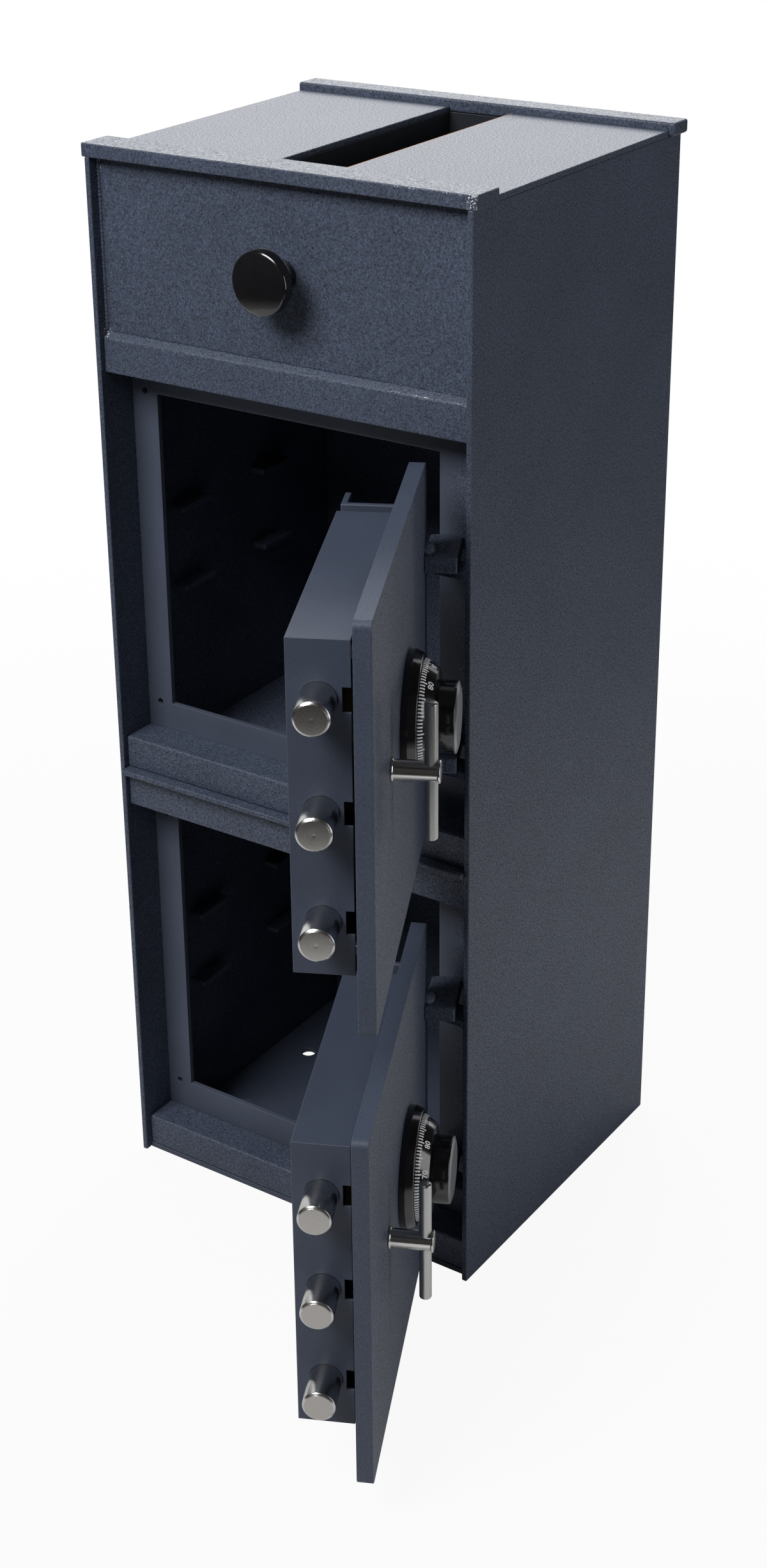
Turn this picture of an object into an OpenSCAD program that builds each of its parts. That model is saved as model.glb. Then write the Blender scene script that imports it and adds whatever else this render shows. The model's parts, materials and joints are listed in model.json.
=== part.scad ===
// Upright two-compartment drop safe with a rotary deposit trough.
// Millimetres, +Z up, front towards -Y. The origin is the centre of the base.
// Shared parts are drawn with y measured from the front edges of the side walls.
// Door parts are drawn with the door shut: x from its hinge end, y inward from
// its outer face and z from its lower edge.

/* [Casing] */
// Width over the side walls
body_w = 356; // [330:1:400]
// Depth from the side walls' front edges to the back
body_d = 317; // [300:1:360]
// Thickness of the casing plates
plate_t = 4.8; // [3:0.1:6]
// Thickness of the door frame plates
frame_t = 4.8; // [3:0.1:6]
// Height of the raised bars on the top
bar_h = 11; // [8:0.5:16]
// Depth of the front top bar
front_bar_d = 32.3; // [28:0.1:36]
// How far the front top bar passes the wall edges
front_bar_lip = 0.3; // [0:0.1:4]
// How far the front top bar passes each side wall
front_bar_side = 2.6; // [0:0.1:6]
// Depth of the rear lip bar
rear_bar_d = 24.5; // [20:0.5:30]
// How far the rear lip bar passes the back
rear_bar_lip = 2.5; // [0:0.1:6]
// How far the rear lip bar passes each side wall
rear_bar_side = 4.7; // [0:0.1:8]
// Diameter of the floor anchor holes
anchor_d = 14; // [10:0.5:16]
// Distance between the anchor holes across the safe
anchor_span_x = 276; // [240:1:280]
// Distance between the anchor holes front to back
anchor_span_y = 107; // [90:1:130]

/* [Front] */
// Setback of the head panel's face
head_y = 10.7; // [8:0.1:16]
// Lower edge of the head panel
head_z = 788; // [780:1:796]
// Height of the head panel
head_h = 141; // [126:1:170]
// Setback of the faces of the lintels and the middle sill
face_y = 4.9; // [3:0.1:8]
// Underside of the upper lintel
lintel_z = 754.3; // [750:0.1:762]
// Height of the upper lintel's face
lintel_face_h = 28.9; // [22:0.1:29]
// Top of the middle sill
mid_sill_z = 427.8; // [420:0.1:429]
// Underside of the divider between the compartments
divider_z = 393.8; // [388:0.1:400]
// How far the divider's ledge stands in front of the walls
ledge_out = 4.4; // [0:0.1:8]
// Height of the lower lintel's face
low_lintel_h = 31.8; // [26:0.1:40]
// Setback of the bottom sill's face
bottom_sill_y = 7; // [5:0.1:12]
// Top of the bottom sill
bottom_sill_z = 34.6; // [28:0.1:35.3]

/* [Door frames] */
// Setback of the door frames' faces
frame_y = 38.4; // [38:0.1:44]
// Width of a frame's strip on the strike side
strike_strip = 25.4; // [20:0.1:26.2]
// Width of a frame's strip on the hinge side
hinge_strip = 46.9; // [45:0.1:55]
// Height of a door opening
open_h = 279.5; // [270:0.5:284]
// Lower edge of the upper opening
upper_open_z = 451.6; // [448:0.1:454]
// Lower edge of the lower opening
lower_open_z = 61.5; // [58:0.1:63]
// Diameter of the holes in the frames' strike strips
strike_hole_d = 6; // [4:0.5:8]
// Distance of those holes from the side wall
strike_hole_in = 12.5; // [8:0.5:16]
// Distance of those holes beyond the opening's ends
strike_hole_over = 1; // [0:0.5:4]

/* [Doors] */
// Gap between a door plate and the wall on the strike side
strike_gap = 3.7; // [2.7:0.1:8]
// Height of a door plate
door_h = 307.5; // [300:0.5:312]
// Thickness of a door plate
door_t = 12.7; // [9:0.1:13]
// Radius of a door plate's corners
door_r = 6; // [2:0.5:12]
// Setback of a shut door's outer face
door_y = 21.9; // [20:0.1:24]
// Distance of a door plate from the wall on the hinge side
hinge_gap = 31.7; // [31:0.1:34]
// Lower edge of the upper door
upper_door_z = 429; // [428.6:0.1:432]
// Lower edge of the lower door
lower_door_z = 35.6; // [35.2:0.1:38]
// Angle at which the upper door stands open
upper_angle = 116.4; // [0:0.1:118]
// Angle at which the lower door stands open
lower_angle = 115.2; // [0:0.1:118]

/* [Hinges] */
// Distance of the hinge axis beyond a plate's end
axis_out = 4; // [3:0.1:6]
// Distance of the hinge axis in front of a plate's face
axis_fwd = 11; // [10:0.1:12]
// Diameter of a hinge pin
pin_d = 9.5; // [6:0.1:12]
// Running clearance on the radius of a pin or shaft
run_gap = 0.05; // [0.01:0.01:0.1]
// Reach of a hinge arm over the plate
arm_grip = 20.5; // [14:0.5:30]
// Depth of a hinge arm
arm_d = 25; // [22:0.1:26]
// Thickness of a hinge arm
arm_t = 12.7; // [8:0.1:16]
// Radius of a hinge arm's end about its axis
arm_r = 26.4; // [22:0.1:26.6]
// Underside of the lower hinge arm on its door
arm_low_z = 58.1; // [50:0.1:70]
// Underside of the upper hinge arm on its door
arm_high_z = 225.4; // [215:0.1:240]
// Thickness of a hinge lug
lug_t = 6; // [4:0.5:10]
// Radius of a hinge lug
lug_r = 11; // [8:0.1:11.2]
// Gap between a hinge arm and its lug
arm_gap = 0.3; // [0.2:0.1:1]

/* [Bolt work] */
// Diameter of a locking bolt
bolt_d = 25.4; // [20:0.1:28]
// Distance of the bolts' axes from the door's outer face
bolt_y = 40; // [38:0.1:42]
// Height of the lowest bolt on its door
bolt_z = 71; // [66:0.5:76]
// Distance between the bolts
bolt_pitch = 83.5; // [78:0.5:84]
// Number of bolts on a door
bolt_count = 3; // [2:1:3]
// Travel of the bolts
bolt_throw = 35; // [25:0.5:35]
// How far the drawn-in bolts lie inside the box end
bolt_inset = 2; // [0.5:0.1:4]
// Distance of the bolt box from the opening's strike side
box_in = 10.3; // [9.3:0.1:19]
// Hinge end of the bolt box
box_near = 42.3; // [38:0.1:50]
// Gap between a door plate and its bolt box
box_gap = 5.7; // [3:0.1:8]
// Depth of the bolt box
box_d = 43.6; // [42:0.1:45]
// Lower edge of the bolt box on its door
box_low = 29.5; // [24:0.5:34]
// Height of the bolt box
box_h = 251.5; // [244:0.5:256]
// Wall of the bolt box
box_wall = 2; // [1.5:0.1:3]
// Height of the notch beside each bolt
notch_h = 18; // [12:1:22]
// Depth of the notch beside each bolt
notch_d = 6; // [3:0.5:8]
// Thickness of the bar that carries the bolts
carrier_t = 5; // [4:0.5:6]
// Width of the bar that carries the bolts
carrier_w = 16; // [12:1:20]
// Thickness of the slotted yoke
yoke_t = 4; // [3:0.5:6]
// Diameter of the posts that hold the box
post_d = 10; // [8:0.5:12]
// Distance of the posts from the box ends
post_in = 14; // [12:0.5:18]
// Thickness of the hinge-side dead bar
dead_t = 5; // [4:0.1:6]
// Hinge-side face of the dead bar's web
dead_web = 23; // [20:0.5:26]
// Tip of the dead bar's flange
dead_tip = 1.4; // [1:0.1:4]
// Inward face of the dead bar's flange
dead_y = 61.2; // [56:0.1:64]

/* [Handles] */
// Distance of a handle from the door plate's strike edge
handle_in = 89; // [83:0.5:95]
// Height of a handle on its door
handle_z = 160.9; // [156:0.1:166]
// Diameter of a handle's stem
stem_d = 15; // [12:0.5:16.5]
// Length of a handle's stem
stem_l = 34.3; // [28:0.1:40]
// Diameter of the collars at a stem's ends
collar_d = 17; // [16.5:0.5:22]
// Thickness of the collars at a stem's ends
collar_t = 1.6; // [1:0.1:3]
// Diameter of a handle's bar
bar_d = 9.5; // [8:0.1:12]
// Length of a handle's bar
bar_l = 106; // [90:1:120]
// Distance of the bar from the door's face
bar_out = 27.6; // [22:0.1:28]
// Diameter of the spindle behind the stem
spindle_d = 12; // [10:0.5:12]
// Half of a handle's turn
half_turn = 45; // [35:1:45]
// Diameter of the crank pin
crank_pin_d = 7; // [5:0.5:8]
// Clearance of the crank pin in its slot
slot_gap = 1.1; // [0.9:0.1:1.5]
// Radius of the crank's hub
hub_r = 8; // [7:0.5:8]
// Thickness of the crank
crank_t = 5; // [4:0.5:6]
// Width of the crank's arm
crank_w = 8; // [6:0.5:10]
// Radius of the crank's eye around its pin
crank_eye_r = 5.5; // [5:0.1:7]

/* [Dials] */
// Distance between a dial and its handle across the door
dial_span = 95.5; // [92:0.5:102]
// Height of a dial on its door
dial_z = 157.5; // [152:0.5:164]
// Outer diameter of a dial ring
ring_d = 96.6; // [90:0.1:100]
// Width of a dial ring's rim
ring_rim = 6; // [4:0.5:8]
// Height of a dial ring
ring_t = 11.5; // [8:0.5:14]
// Clearance around a dial in its ring
dial_gap = 0.5; // [0.3:0.1:1]
// Diameter of a dial's knob
dial_knob_d = 53.5; // [45:0.5:60]
// Distance of the knob's end from the door's face
dial_out = 37.7; // [32:0.1:44]
// Diameter of the satin cap on the knob's end
dial_cap_d = 44; // [36:0.5:48]
// Thickness of a dial's skirt
dial_skirt_t = 11; // [8:0.5:12]
// Height of a dial's graduated cone
dial_cone_h = 10.5; // [6:0.5:12]
// Width of the flat rim between the cone and the knob
dial_step = 8.2; // [1:0.1:10]
// Height of the bevel around a dial's satin cap
dial_cap_t = 1.5; // [1:0.5:3]
// How deep a dial's spindle reaches into it
dial_seat = 22; // [14:0.5:24]
// Diameter of a dial's spindle
dial_spindle_d = 8; // [6:0.5:10]

/* [Locks] */
// Width of a lock case
lock_w = 72; // [64:1:80]
// Height of a lock case
lock_h = 84; // [74:1:96]
// Depth of a lock case
lock_d = 30; // [26:1:36]
// Wall of a lock case
lock_wall = 2.5; // [2:0.1:4]
// Diameter of the combination wheels
wheel_d = 52; // [44:1:56]
// Thickness of a combination wheel
wheel_t = 3; // [2:0.5:3.5]
// Distance between combination wheels
wheel_pitch = 4; // [3.5:0.5:4.5]
// Number of combination wheels
wheel_count = 3; // [2:1:4]
// Radius of the post behind the combination wheels
wheel_post_r = 7; // [4:0.5:12]
// Height of the lock bolt
lock_bolt_h = 18; // [12:1:24]
// Thickness of the lock bolt
lock_bolt_t = 6; // [4:0.5:8]
// Distance of the lock bolt from the plate
lock_bolt_y = 5; // [4:0.5:8]
// How far the drawn-in lock bolt shows
lock_bolt_out = 3; // [1:0.5:6]
// Length of the lock bolt
lock_bolt_l = 12; // [8:0.5:16]

/* [Deposit] */
// Left edge of the deposit slot
slot_left = -27; // [-35:0.5:-20]
// Width of the deposit slot
slot_w = 60; // [50:0.5:64]
// Depth of the deposit shaft's axis below the head panel's top
drum_drop = 72; // [70:0.5:76]
// Outer radius of the deposit trough
drum_r = 44; // [40:0.5:44.5]
// Wall of the deposit trough
drum_wall = 2.5; // [1.5:0.1:4]
// Thickness of the hopper plates
hopper_t = 2.5; // [1.5:0.1:4]
// Clearance around the trough in its hopper
drum_gap = 2; // [1:0.1:4]
// Diameter of the deposit shaft
shaft_d = 12; // [8:0.5:14]
// Diameter of the shaft's bushes
bush_d = 22; // [18:0.5:28]
// Thickness of a bush flange
bush_flange = 2; // [1:0.5:3]
// Diameter of the deposit knob
knob_d = 50; // [44:0.5:56]
// Length of the knob's gripping rim
knob_rim = 10; // [6:0.5:14]
// Height of the knob's dome
knob_dome = 4; // [2:0.5:8]
// Distance of the knob's rim from the head panel
knob_out = 30.7; // [22:0.1:36]
// Diameter of the knob's neck
knob_neck_d = 26; // [20:0.5:34]

/* [Shelf tabs] */
// Length of a shelf tab
tab_l = 43; // [30:1:60]
// How far a shelf tab stands out from the wall
tab_out = 14; // [10:0.5:20]
// Thickness of a shelf tab
tab_t = 5; // [3:0.5:7]
// Setback of the front tabs
tab_y = 79; // [70:1:100]
// Height of the upper compartment's lower tabs
upper_tab_z = 540; // [500:1:560]
// Height of the lower compartment's lower tabs
lower_tab_z = 141; // [110:1:170]
// Distance between two rows of tabs
tab_pitch = 72; // [60:1:80]

/* [Hidden] */
$fn = 64;
// Overshoot of a cut past the face it opens
cut = 1;

// Height of the side walls
wall_h = head_z + head_h;
inner_x = body_w / 2 - plate_t;
inner_w = 2 * inner_x;
inner_back = body_d - plate_t;
open_left = -inner_x + strike_strip;
open_right = inner_x - hinge_strip;
door_x = inner_x - hinge_gap;
door_w = door_x + inner_x - strike_gap;
handle_x = door_w - handle_in;
dial_x = handle_x - dial_span;
divider_top = divider_z + plate_t;
ceiling_z = lintel_z + plate_t;
lintel_top = lintel_z + lintel_face_h;
slot_right = slot_left + slot_w;
slot_x = slot_left + slot_w / 2;
slot_front = front_bar_d - front_bar_lip;
slot_back = body_d + rear_bar_lip - rear_bar_d;
hinge_x = door_x + axis_out;
hinge_y = door_y - axis_fwd;
// Values of the two doors, lower first
door_z = [lower_door_z, upper_door_z];
open_z = [lower_open_z, upper_open_z];
tab_z = [lower_tab_z, upper_tab_z];
door_angle = [lower_angle, upper_angle];
LOWER = 0;
UPPER = 1;

// Bolt work, in a shut door's own frame
box_far = door_x - open_left - box_in;
box_y = door_t + box_gap;
box_back = box_y + box_d;
bolt_tip = -(box_far - bolt_inset + bolt_throw);
// Clearance between the crank's hub and the drawn-in bolts' bar
hub_gap = 1.5;
carrier_x = -(handle_x + hub_r + hub_gap + bolt_throw) - carrier_t;
// How far the bar passes the outer bolts' axes
carrier_over = 4;
crank_r = bolt_throw / 2 / sin(half_turn);
crank_pin_x = -handle_x - crank_r * sin(half_turn);
crank_pin_z = handle_z + crank_r * cos(half_turn);
slot_hw = crank_pin_d / 2 + slot_gap;
slot_low = crank_pin_z - slot_hw;
slot_high = handle_z + crank_r + slot_hw;
// Metal around the yoke's slot
yoke_rim = 4.5;
yoke_y = bolt_y + carrier_w / 2 - yoke_t;
crank_y = yoke_y - crank_t - slot_gap;
lock_x = -dial_x - lock_w / 2;
lock_z = dial_z - lock_h / 2;
lock_cover = door_t + lock_d - lock_wall;
drive_y = lock_cover - wheel_pitch * (wheel_count + 1);

// Deposit trough, hopper and shaft
drum_z = wall_h - drum_drop;
hopper_in = drum_r + drum_gap;
hopper_top = drum_z + drum_r + drum_gap;
drum_front = slot_front + bush_flange + dial_gap;
drum_back = slot_back - bush_flange - dial_gap;
shaft_front = head_y - knob_out + knob_rim / 2;
// Clearance of a piece seated in its own body
seat_gap = 0.02;

module at_front() translate([0, -body_d / 2, 0]) children();

module on_door(d)
    at_front() translate([hinge_x, hinge_y, door_z[d]]) rotate([0, 0, door_angle[d]])
        translate([-axis_out, axis_fwd, 0]) children();

// A cylinder along +Y from y = 0
module rod_y(r, h) rotate([-90, 0, 0]) cylinder(r = r, h = h);
// A cylinder along +X from x = 0
module rod_x(r, h) rotate([0, 90, 0]) cylinder(r = r, h = h);

// A profile drawn as [y, z] points, run along x between the side walls
module fold(points)
    translate([-inner_x, 0, 0]) rotate([90, 0, 90]) linear_extrude(inner_w) polygon(points);

// A plate in the x-z plane with round corners, from y = 0 to y = t
module rounded_plate(w, h, t, r) translate([0, t, 0]) rotate([90, 0, 0]) linear_extrude(t) {
    translate([r, 0]) square([w - 2 * r, h]);
    translate([0, r]) square([w, h - 2 * r]);
    for (x = [r, w - r], z = [r, h - r]) translate([x, z]) circle(r);
}

// Casing
module side_wall(x) color("slategray") at_front()
    translate([x, 0, 0]) cube([plate_t, body_d, wall_h]);

module side_wall_left() side_wall(-body_w / 2);
module side_wall_right() side_wall(inner_x);

module back_panel() color("slategray") at_front()
    translate([-inner_x, inner_back, 0]) cube([inner_w, plate_t, wall_h]);

module floor_plate() color("lightsteelblue") at_front() difference() {
    translate([-inner_x, bottom_sill_y, 0])
        cube([inner_w, inner_back - bottom_sill_y, plate_t]);
    for (x = [-1, 1], y = [-1, 1])
        translate([x * anchor_span_x / 2, body_d / 2 + y * anchor_span_y / 2, -cut])
            cylinder(d = anchor_d, h = plate_t + 2 * cut);
}

module top_plate(x0, x1) color("slategray") at_front()
    translate([x0, slot_front, wall_h]) cube([x1 - x0, slot_back - slot_front, plate_t]);

module top_plate_left() top_plate(-body_w / 2, slot_left);
module top_plate_right() top_plate(slot_right, body_w / 2);

module top_bar(side, y, depth) color("slategray") at_front()
    translate([-body_w / 2 - side, y, wall_h]) cube([body_w + 2 * side, depth, bar_h]);

module front_top_bar() top_bar(front_bar_side, -front_bar_lip, front_bar_d);
module rear_lip_bar() top_bar(rear_bar_side, slot_back, rear_bar_d);

module head_panel() color("slategray") at_front() difference() {
    translate([-inner_x, head_y, head_z]) cube([inner_w, plate_t, wall_h - head_z]);
    translate([slot_x, head_y - cut, drum_z])
        rod_y(bush_d / 2 - bush_flange + seat_gap, plate_t + 2 * cut);
}

// The lintel's face turns back at 45 degrees to meet the head panel
module upper_lintel() color("slategray") at_front() fold([
    [face_y, lintel_z], [face_y, lintel_top], [head_y, head_z],
    [head_y + plate_t, head_z], [head_y + plate_t, lintel_top - plate_t],
    [face_y + plate_t, lintel_top - plate_t], [face_y + plate_t, ceiling_z],
    [frame_y, ceiling_z], [frame_y, lintel_z]]);

module mid_sill() color("slategray") at_front() fold([
    [face_y, divider_top], [face_y, mid_sill_z], [frame_y, mid_sill_z],
    [frame_y, mid_sill_z - plate_t], [face_y + plate_t, mid_sill_z - plate_t],
    [face_y + plate_t, divider_top]]);

module divider_plate() color("slategray") at_front()
    translate([-inner_x, -ledge_out, divider_z])
        cube([inner_w, inner_back + ledge_out, plate_t]);

module lower_lintel() color("slategray") at_front() fold([
    [face_y, divider_z], [face_y, divider_z - low_lintel_h],
    [frame_y, divider_z - low_lintel_h], [frame_y, divider_z - low_lintel_h + plate_t],
    [face_y + plate_t, divider_z - low_lintel_h + plate_t], [face_y + plate_t, divider_z]]);

module bottom_sill() color("slategray") at_front() fold([
    [bottom_sill_y, plate_t], [bottom_sill_y, bottom_sill_z], [frame_y, bottom_sill_z],
    [frame_y, bottom_sill_z - plate_t], [bottom_sill_y + plate_t, bottom_sill_z - plate_t],
    [bottom_sill_y + plate_t, plate_t]]);

// A frame plate behind a door, from z0 up to z1, with its opening
module door_frame(d, z0, z1) color("lightsteelblue") at_front() difference() {
    translate([-inner_x, frame_y, z0]) cube([inner_w, frame_t, z1 - z0]);
    translate([open_left, frame_y - cut, open_z[d]])
        cube([open_right - open_left, frame_t + 2 * cut, open_h]);
    for (z = [-strike_hole_over, open_h + strike_hole_over])
        translate([-inner_x + strike_hole_in, frame_y - cut, open_z[d] + z])
            rod_y(strike_hole_d / 2, frame_t + 2 * cut);
}

module upper_door_frame() door_frame(UPPER, divider_top, lintel_z);
module lower_door_frame() door_frame(LOWER, plate_t, divider_z);

module ceiling_plate() color("lightsteelblue") at_front() difference() {
    translate([-inner_x, frame_y, lintel_z])
        cube([inner_w, inner_back - frame_y, plate_t]);
    translate([slot_x - hopper_in, frame_y + frame_t, lintel_z - cut])
        cube([2 * hopper_in, slot_back - frame_y - frame_t, plate_t + 2 * cut]);
}

// A folded hopper side: narrow under the slot, wide around the trough
module hopper_side(s) color("silver") at_front()
    translate([slot_x, slot_back, 0]) rotate([90, 0, 0]) linear_extrude(slot_back - slot_front)
        polygon([for (p = [
            [slot_w / 2, wall_h], [slot_w / 2 + hopper_t, wall_h],
            [slot_w / 2 + hopper_t, hopper_top + hopper_t], [hopper_in + hopper_t, hopper_top + hopper_t],
            [hopper_in + hopper_t, ceiling_z], [hopper_in, ceiling_z],
            [hopper_in, hopper_top], [slot_w / 2, hopper_top]]) [s * p[0], p[1]]]);

module hopper_left() hopper_side(-1);
module hopper_right() hopper_side(1);

// A hopper end plate with its bush hole
module hopper_end(y) color("silver") at_front() difference() {
    translate([slot_x - hopper_in - hopper_t, y, ceiling_z])
        cube([2 * (hopper_in + hopper_t), hopper_t, wall_h - ceiling_z]);
    translate([slot_x, y - cut, drum_z])
        rod_y(bush_d / 2 - bush_flange + seat_gap, hopper_t + 2 * cut);
}

module hopper_front() hopper_end(slot_front - hopper_t);
module hopper_rear() hopper_end(slot_back);

// A flanged bush through a wall from y = 0 to y = wall, flange before or behind it
module bush(wall, flange_y) difference() {
    union() {
        rod_y(bush_d / 2 - bush_flange, wall);
        translate([0, flange_y, 0]) rod_y(bush_d / 2, bush_flange);
    }
    translate([0, -bush_flange - cut, 0])
        rod_y(shaft_d / 2 + run_gap, wall + 2 * bush_flange + 2 * cut);
}

module shaft_bushes() color("goldenrod") at_front() {
    translate([slot_x, head_y, drum_z]) bush(plate_t, plate_t);
    translate([slot_x, slot_front - hopper_t, drum_z]) bush(hopper_t, hopper_t);
    translate([slot_x, slot_back, drum_z]) bush(hopper_t, -bush_flange);
}

module shelf_tabs() color("lightsteelblue") at_front()
    for (d = [LOWER, UPPER], row = [0, 1], y = [tab_y, body_d - tab_y - tab_l])
        for (x = [-inner_x, inner_x - tab_out])
            translate([x, y, tab_z[d] + row * tab_pitch])
                cube([tab_out, tab_l, tab_t]);

// Lugs on the right wall, one under each hinge arm
module hinge_lugs() color("slategray") at_front()
    for (d = [LOWER, UPPER], z = [arm_low_z, arm_high_z])
        translate([hinge_x, hinge_y, door_z[d] + z - arm_gap - lug_t]) difference() {
            union() {
                cylinder(r = lug_r, h = lug_t);
                translate([0, -lug_r, 0]) cube([inner_x - hinge_x, 2 * lug_r, lug_t]);
            }
            translate([0, 0, -cut]) cylinder(r = pin_d / 2 + seat_gap, h = lug_t + 2 * cut);
        }

module hinge_pins() color("gray") at_front()
    for (d = [LOWER, UPPER], z = [arm_low_z, arm_high_z])
        translate([hinge_x, hinge_y, door_z[d] + z - arm_gap - lug_t])
            cylinder(d = pin_d, h = lug_t + arm_gap + arm_t);

// Deposit trough: a drum with its upper side open and a disc at each end
module deposit_trough() color("silver") at_front()
    translate([slot_x, drum_front, drum_z]) difference() {
        rod_y(drum_r, drum_back - drum_front);
        translate([0, drum_wall, 0])
            rod_y(drum_r - drum_wall, drum_back - drum_front - 2 * drum_wall);
        translate([-slot_w / 2, drum_wall, 0])
            cube([slot_w, drum_back - drum_front - 2 * drum_wall, drum_r + cut]);
        for (y = [-cut, drum_back - drum_front - drum_wall - cut])
            translate([0, y, 0]) rod_y(shaft_d / 2 + seat_gap, drum_wall + 2 * cut);
    }

// Front shaft with the knob, and a rear journal; the trough spans between them
module deposit_shaft() color("gray") at_front() {
    translate([slot_x, shaft_front, drum_z])
        rod_y(shaft_d / 2, drum_front + drum_wall - shaft_front);
    translate([slot_x, drum_back - drum_wall, drum_z])
        rod_y(shaft_d / 2, drum_wall + dial_gap + bush_flange + hopper_t);
}

module deposit_knob() color("black") at_front()
    translate([slot_x, head_y - knob_out, drum_z]) difference() {
        union() {
            rod_y(knob_d / 2, knob_rim);
            rod_y(knob_neck_d / 2, knob_out - dial_gap);
            knob_dome_cap();
        }
        translate([0, knob_rim / 2, 0]) rod_y(shaft_d / 2 + seat_gap, knob_out);
    }

// The slice of a sphere that crowns the knob
module knob_dome_cap() {
    sphere_r = (pow(knob_d / 2, 2) + pow(knob_dome, 2)) / (2 * knob_dome);
    intersection() {
        translate([0, sphere_r - knob_dome, 0]) sphere(sphere_r);
        translate([0, -knob_dome - cut, 0]) rod_y(knob_d / 2, knob_dome + cut);
    }
}

// Doors, drawn shut
module door_plate(d) color("slategray") on_door(d) difference() {
    translate([-door_w, 0, 0]) rounded_plate(door_w, door_h, door_t, door_r);
    translate([-handle_x, -cut, handle_z]) rod_y(spindle_d / 2 + run_gap, door_t + 2 * cut);
    translate([-dial_x, -cut, dial_z]) rod_y(dial_spindle_d / 2 + run_gap, door_t + 2 * cut);
}

// Each arm lies on the plate's face and ends in a round eye about the pin
module hinge_arms(d) color("slategray") on_door(d)
    for (z = [arm_low_z, arm_high_z]) translate([0, 0, z]) difference() {
        linear_extrude(arm_t) {
            translate([-arm_grip, -arm_d]) square([arm_grip + axis_out, arm_d]);
            intersection() {
                translate([axis_out, -axis_fwd]) circle(arm_r);
                translate([0, -arm_d]) square([axis_out + arm_r, arm_d]);
            }
        }
        translate([axis_out, -axis_fwd, -cut])
            cylinder(r = pin_d / 2 + run_gap, h = arm_t + 2 * cut);
    }

module bolt_axes() for (i = [0:bolt_count - 1])
    translate([0, bolt_y, bolt_z + i * bolt_pitch]) children();

// A tray over the bolt work, open towards the plate
module bolt_box(d) color("lightsteelblue") on_door(d) difference() {
    translate([-box_far, box_y, box_low]) cube([box_far - box_near, box_d, box_h]);
    translate([-box_far + box_wall, box_y - cut, box_low + box_wall])
        cube([box_far - box_near - 2 * box_wall, box_d - box_wall + cut, box_h - 2 * box_wall]);
    bolt_axes() translate([-box_far - cut, 0, 0]) rod_x(bolt_d / 2 + run_gap, box_wall + 2 * cut);
    bolt_axes() translate([-box_far - cut, box_y - cut - bolt_y, -notch_h / 2])
        cube([box_wall + 2 * cut, notch_d + cut, notch_h]);
}

module box_posts(d) color("silver") on_door(d)
    for (x = [-box_far + post_in, -box_near - post_in])
        for (z = [box_low + post_in, box_low + box_h - post_in])
            translate([x, door_t, z]) rod_y(post_d / 2, box_back - box_wall - door_t);

// An angle on the hinge side that hooks behind the frame when the door is shut
module dead_bar(d) color("lightsteelblue") on_door(d) {
    translate([-dead_web - dead_t, door_t, box_low]) cube([dead_t, dead_y - door_t, box_h]);
    translate([-dead_web, dead_y - dead_t, box_low]) cube([dead_web - dead_tip, dead_t, box_h]);
}

// A closed case with its cover, holed for the dial spindle and the lock bolt
module lock_case(d) color("goldenrod") on_door(d) difference() {
    translate([lock_x, door_t, lock_z]) cube([lock_w, lock_d, lock_h]);
    translate([lock_x + lock_wall, door_t + lock_wall, lock_z + lock_wall])
        cube([lock_w - 2 * lock_wall, lock_d - 2 * lock_wall, lock_h - 2 * lock_wall]);
    translate([-dial_x, door_t - cut, dial_z])
        rod_y(dial_spindle_d / 2 + run_gap, lock_wall + 2 * cut);
    translate([lock_x - cut, door_t + lock_bolt_y, dial_z - lock_bolt_h / 2])
        cube([lock_wall + 2 * cut, lock_bolt_t, lock_bolt_h]);
}

// The drawn-in lock bolt
module lock_bolt(d) color("silver") on_door(d)
    translate([lock_x - lock_bolt_out, door_t + lock_bolt_y, dial_z - lock_bolt_h / 2])
        cube([lock_bolt_l, lock_bolt_t, lock_bolt_h]);

// Wheels on the lock cover's post, clear of the drive wheel before them
module combination_wheels(d) color("goldenrod") on_door(d) {
    translate([-dial_x, lock_cover - wheel_pitch * wheel_count, dial_z])
        rod_y(wheel_post_r, wheel_pitch * wheel_count);
    for (i = [1:wheel_count])
        translate([-dial_x, lock_cover - wheel_pitch * i, dial_z]) rod_y(wheel_d / 2, wheel_t);
}

module dial_ring(d) color("black") on_door(d) translate([-dial_x, 0, dial_z])
    rotate([90, 0, 0]) rotate_extrude() polygon([
        [ring_d / 2 - ring_rim, 0], [ring_d / 2, 0], [ring_d / 2, ring_t / 2],
        [ring_d / 2 - ring_rim / 2, ring_t], [ring_d / 2 - ring_rim, ring_t]]);

module bolts(d) color("white") on_door(d) bolt_axes()
    translate([bolt_tip, 0, 0]) rod_x(bolt_d / 2, carrier_x - bolt_tip);

// A bar behind the bolts with a slotted yoke for the crank pin
module bolt_carrier(d) color("silver") on_door(d) difference() {
    union() {
        translate([carrier_x, bolt_y - carrier_w / 2, bolt_z - carrier_over])
            cube([carrier_t, carrier_w, (bolt_count - 1) * bolt_pitch + 2 * carrier_over]);
        translate([carrier_x, yoke_y, slot_low - yoke_rim])
            cube([crank_pin_x + slot_hw + yoke_rim - carrier_x, yoke_t,
                slot_high - slot_low + 2 * yoke_rim]);
    }
    translate([crank_pin_x - slot_hw, yoke_y - cut, slot_low])
        cube([2 * slot_hw, yoke_t + 2 * cut, slot_high - slot_low]);
}

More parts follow.
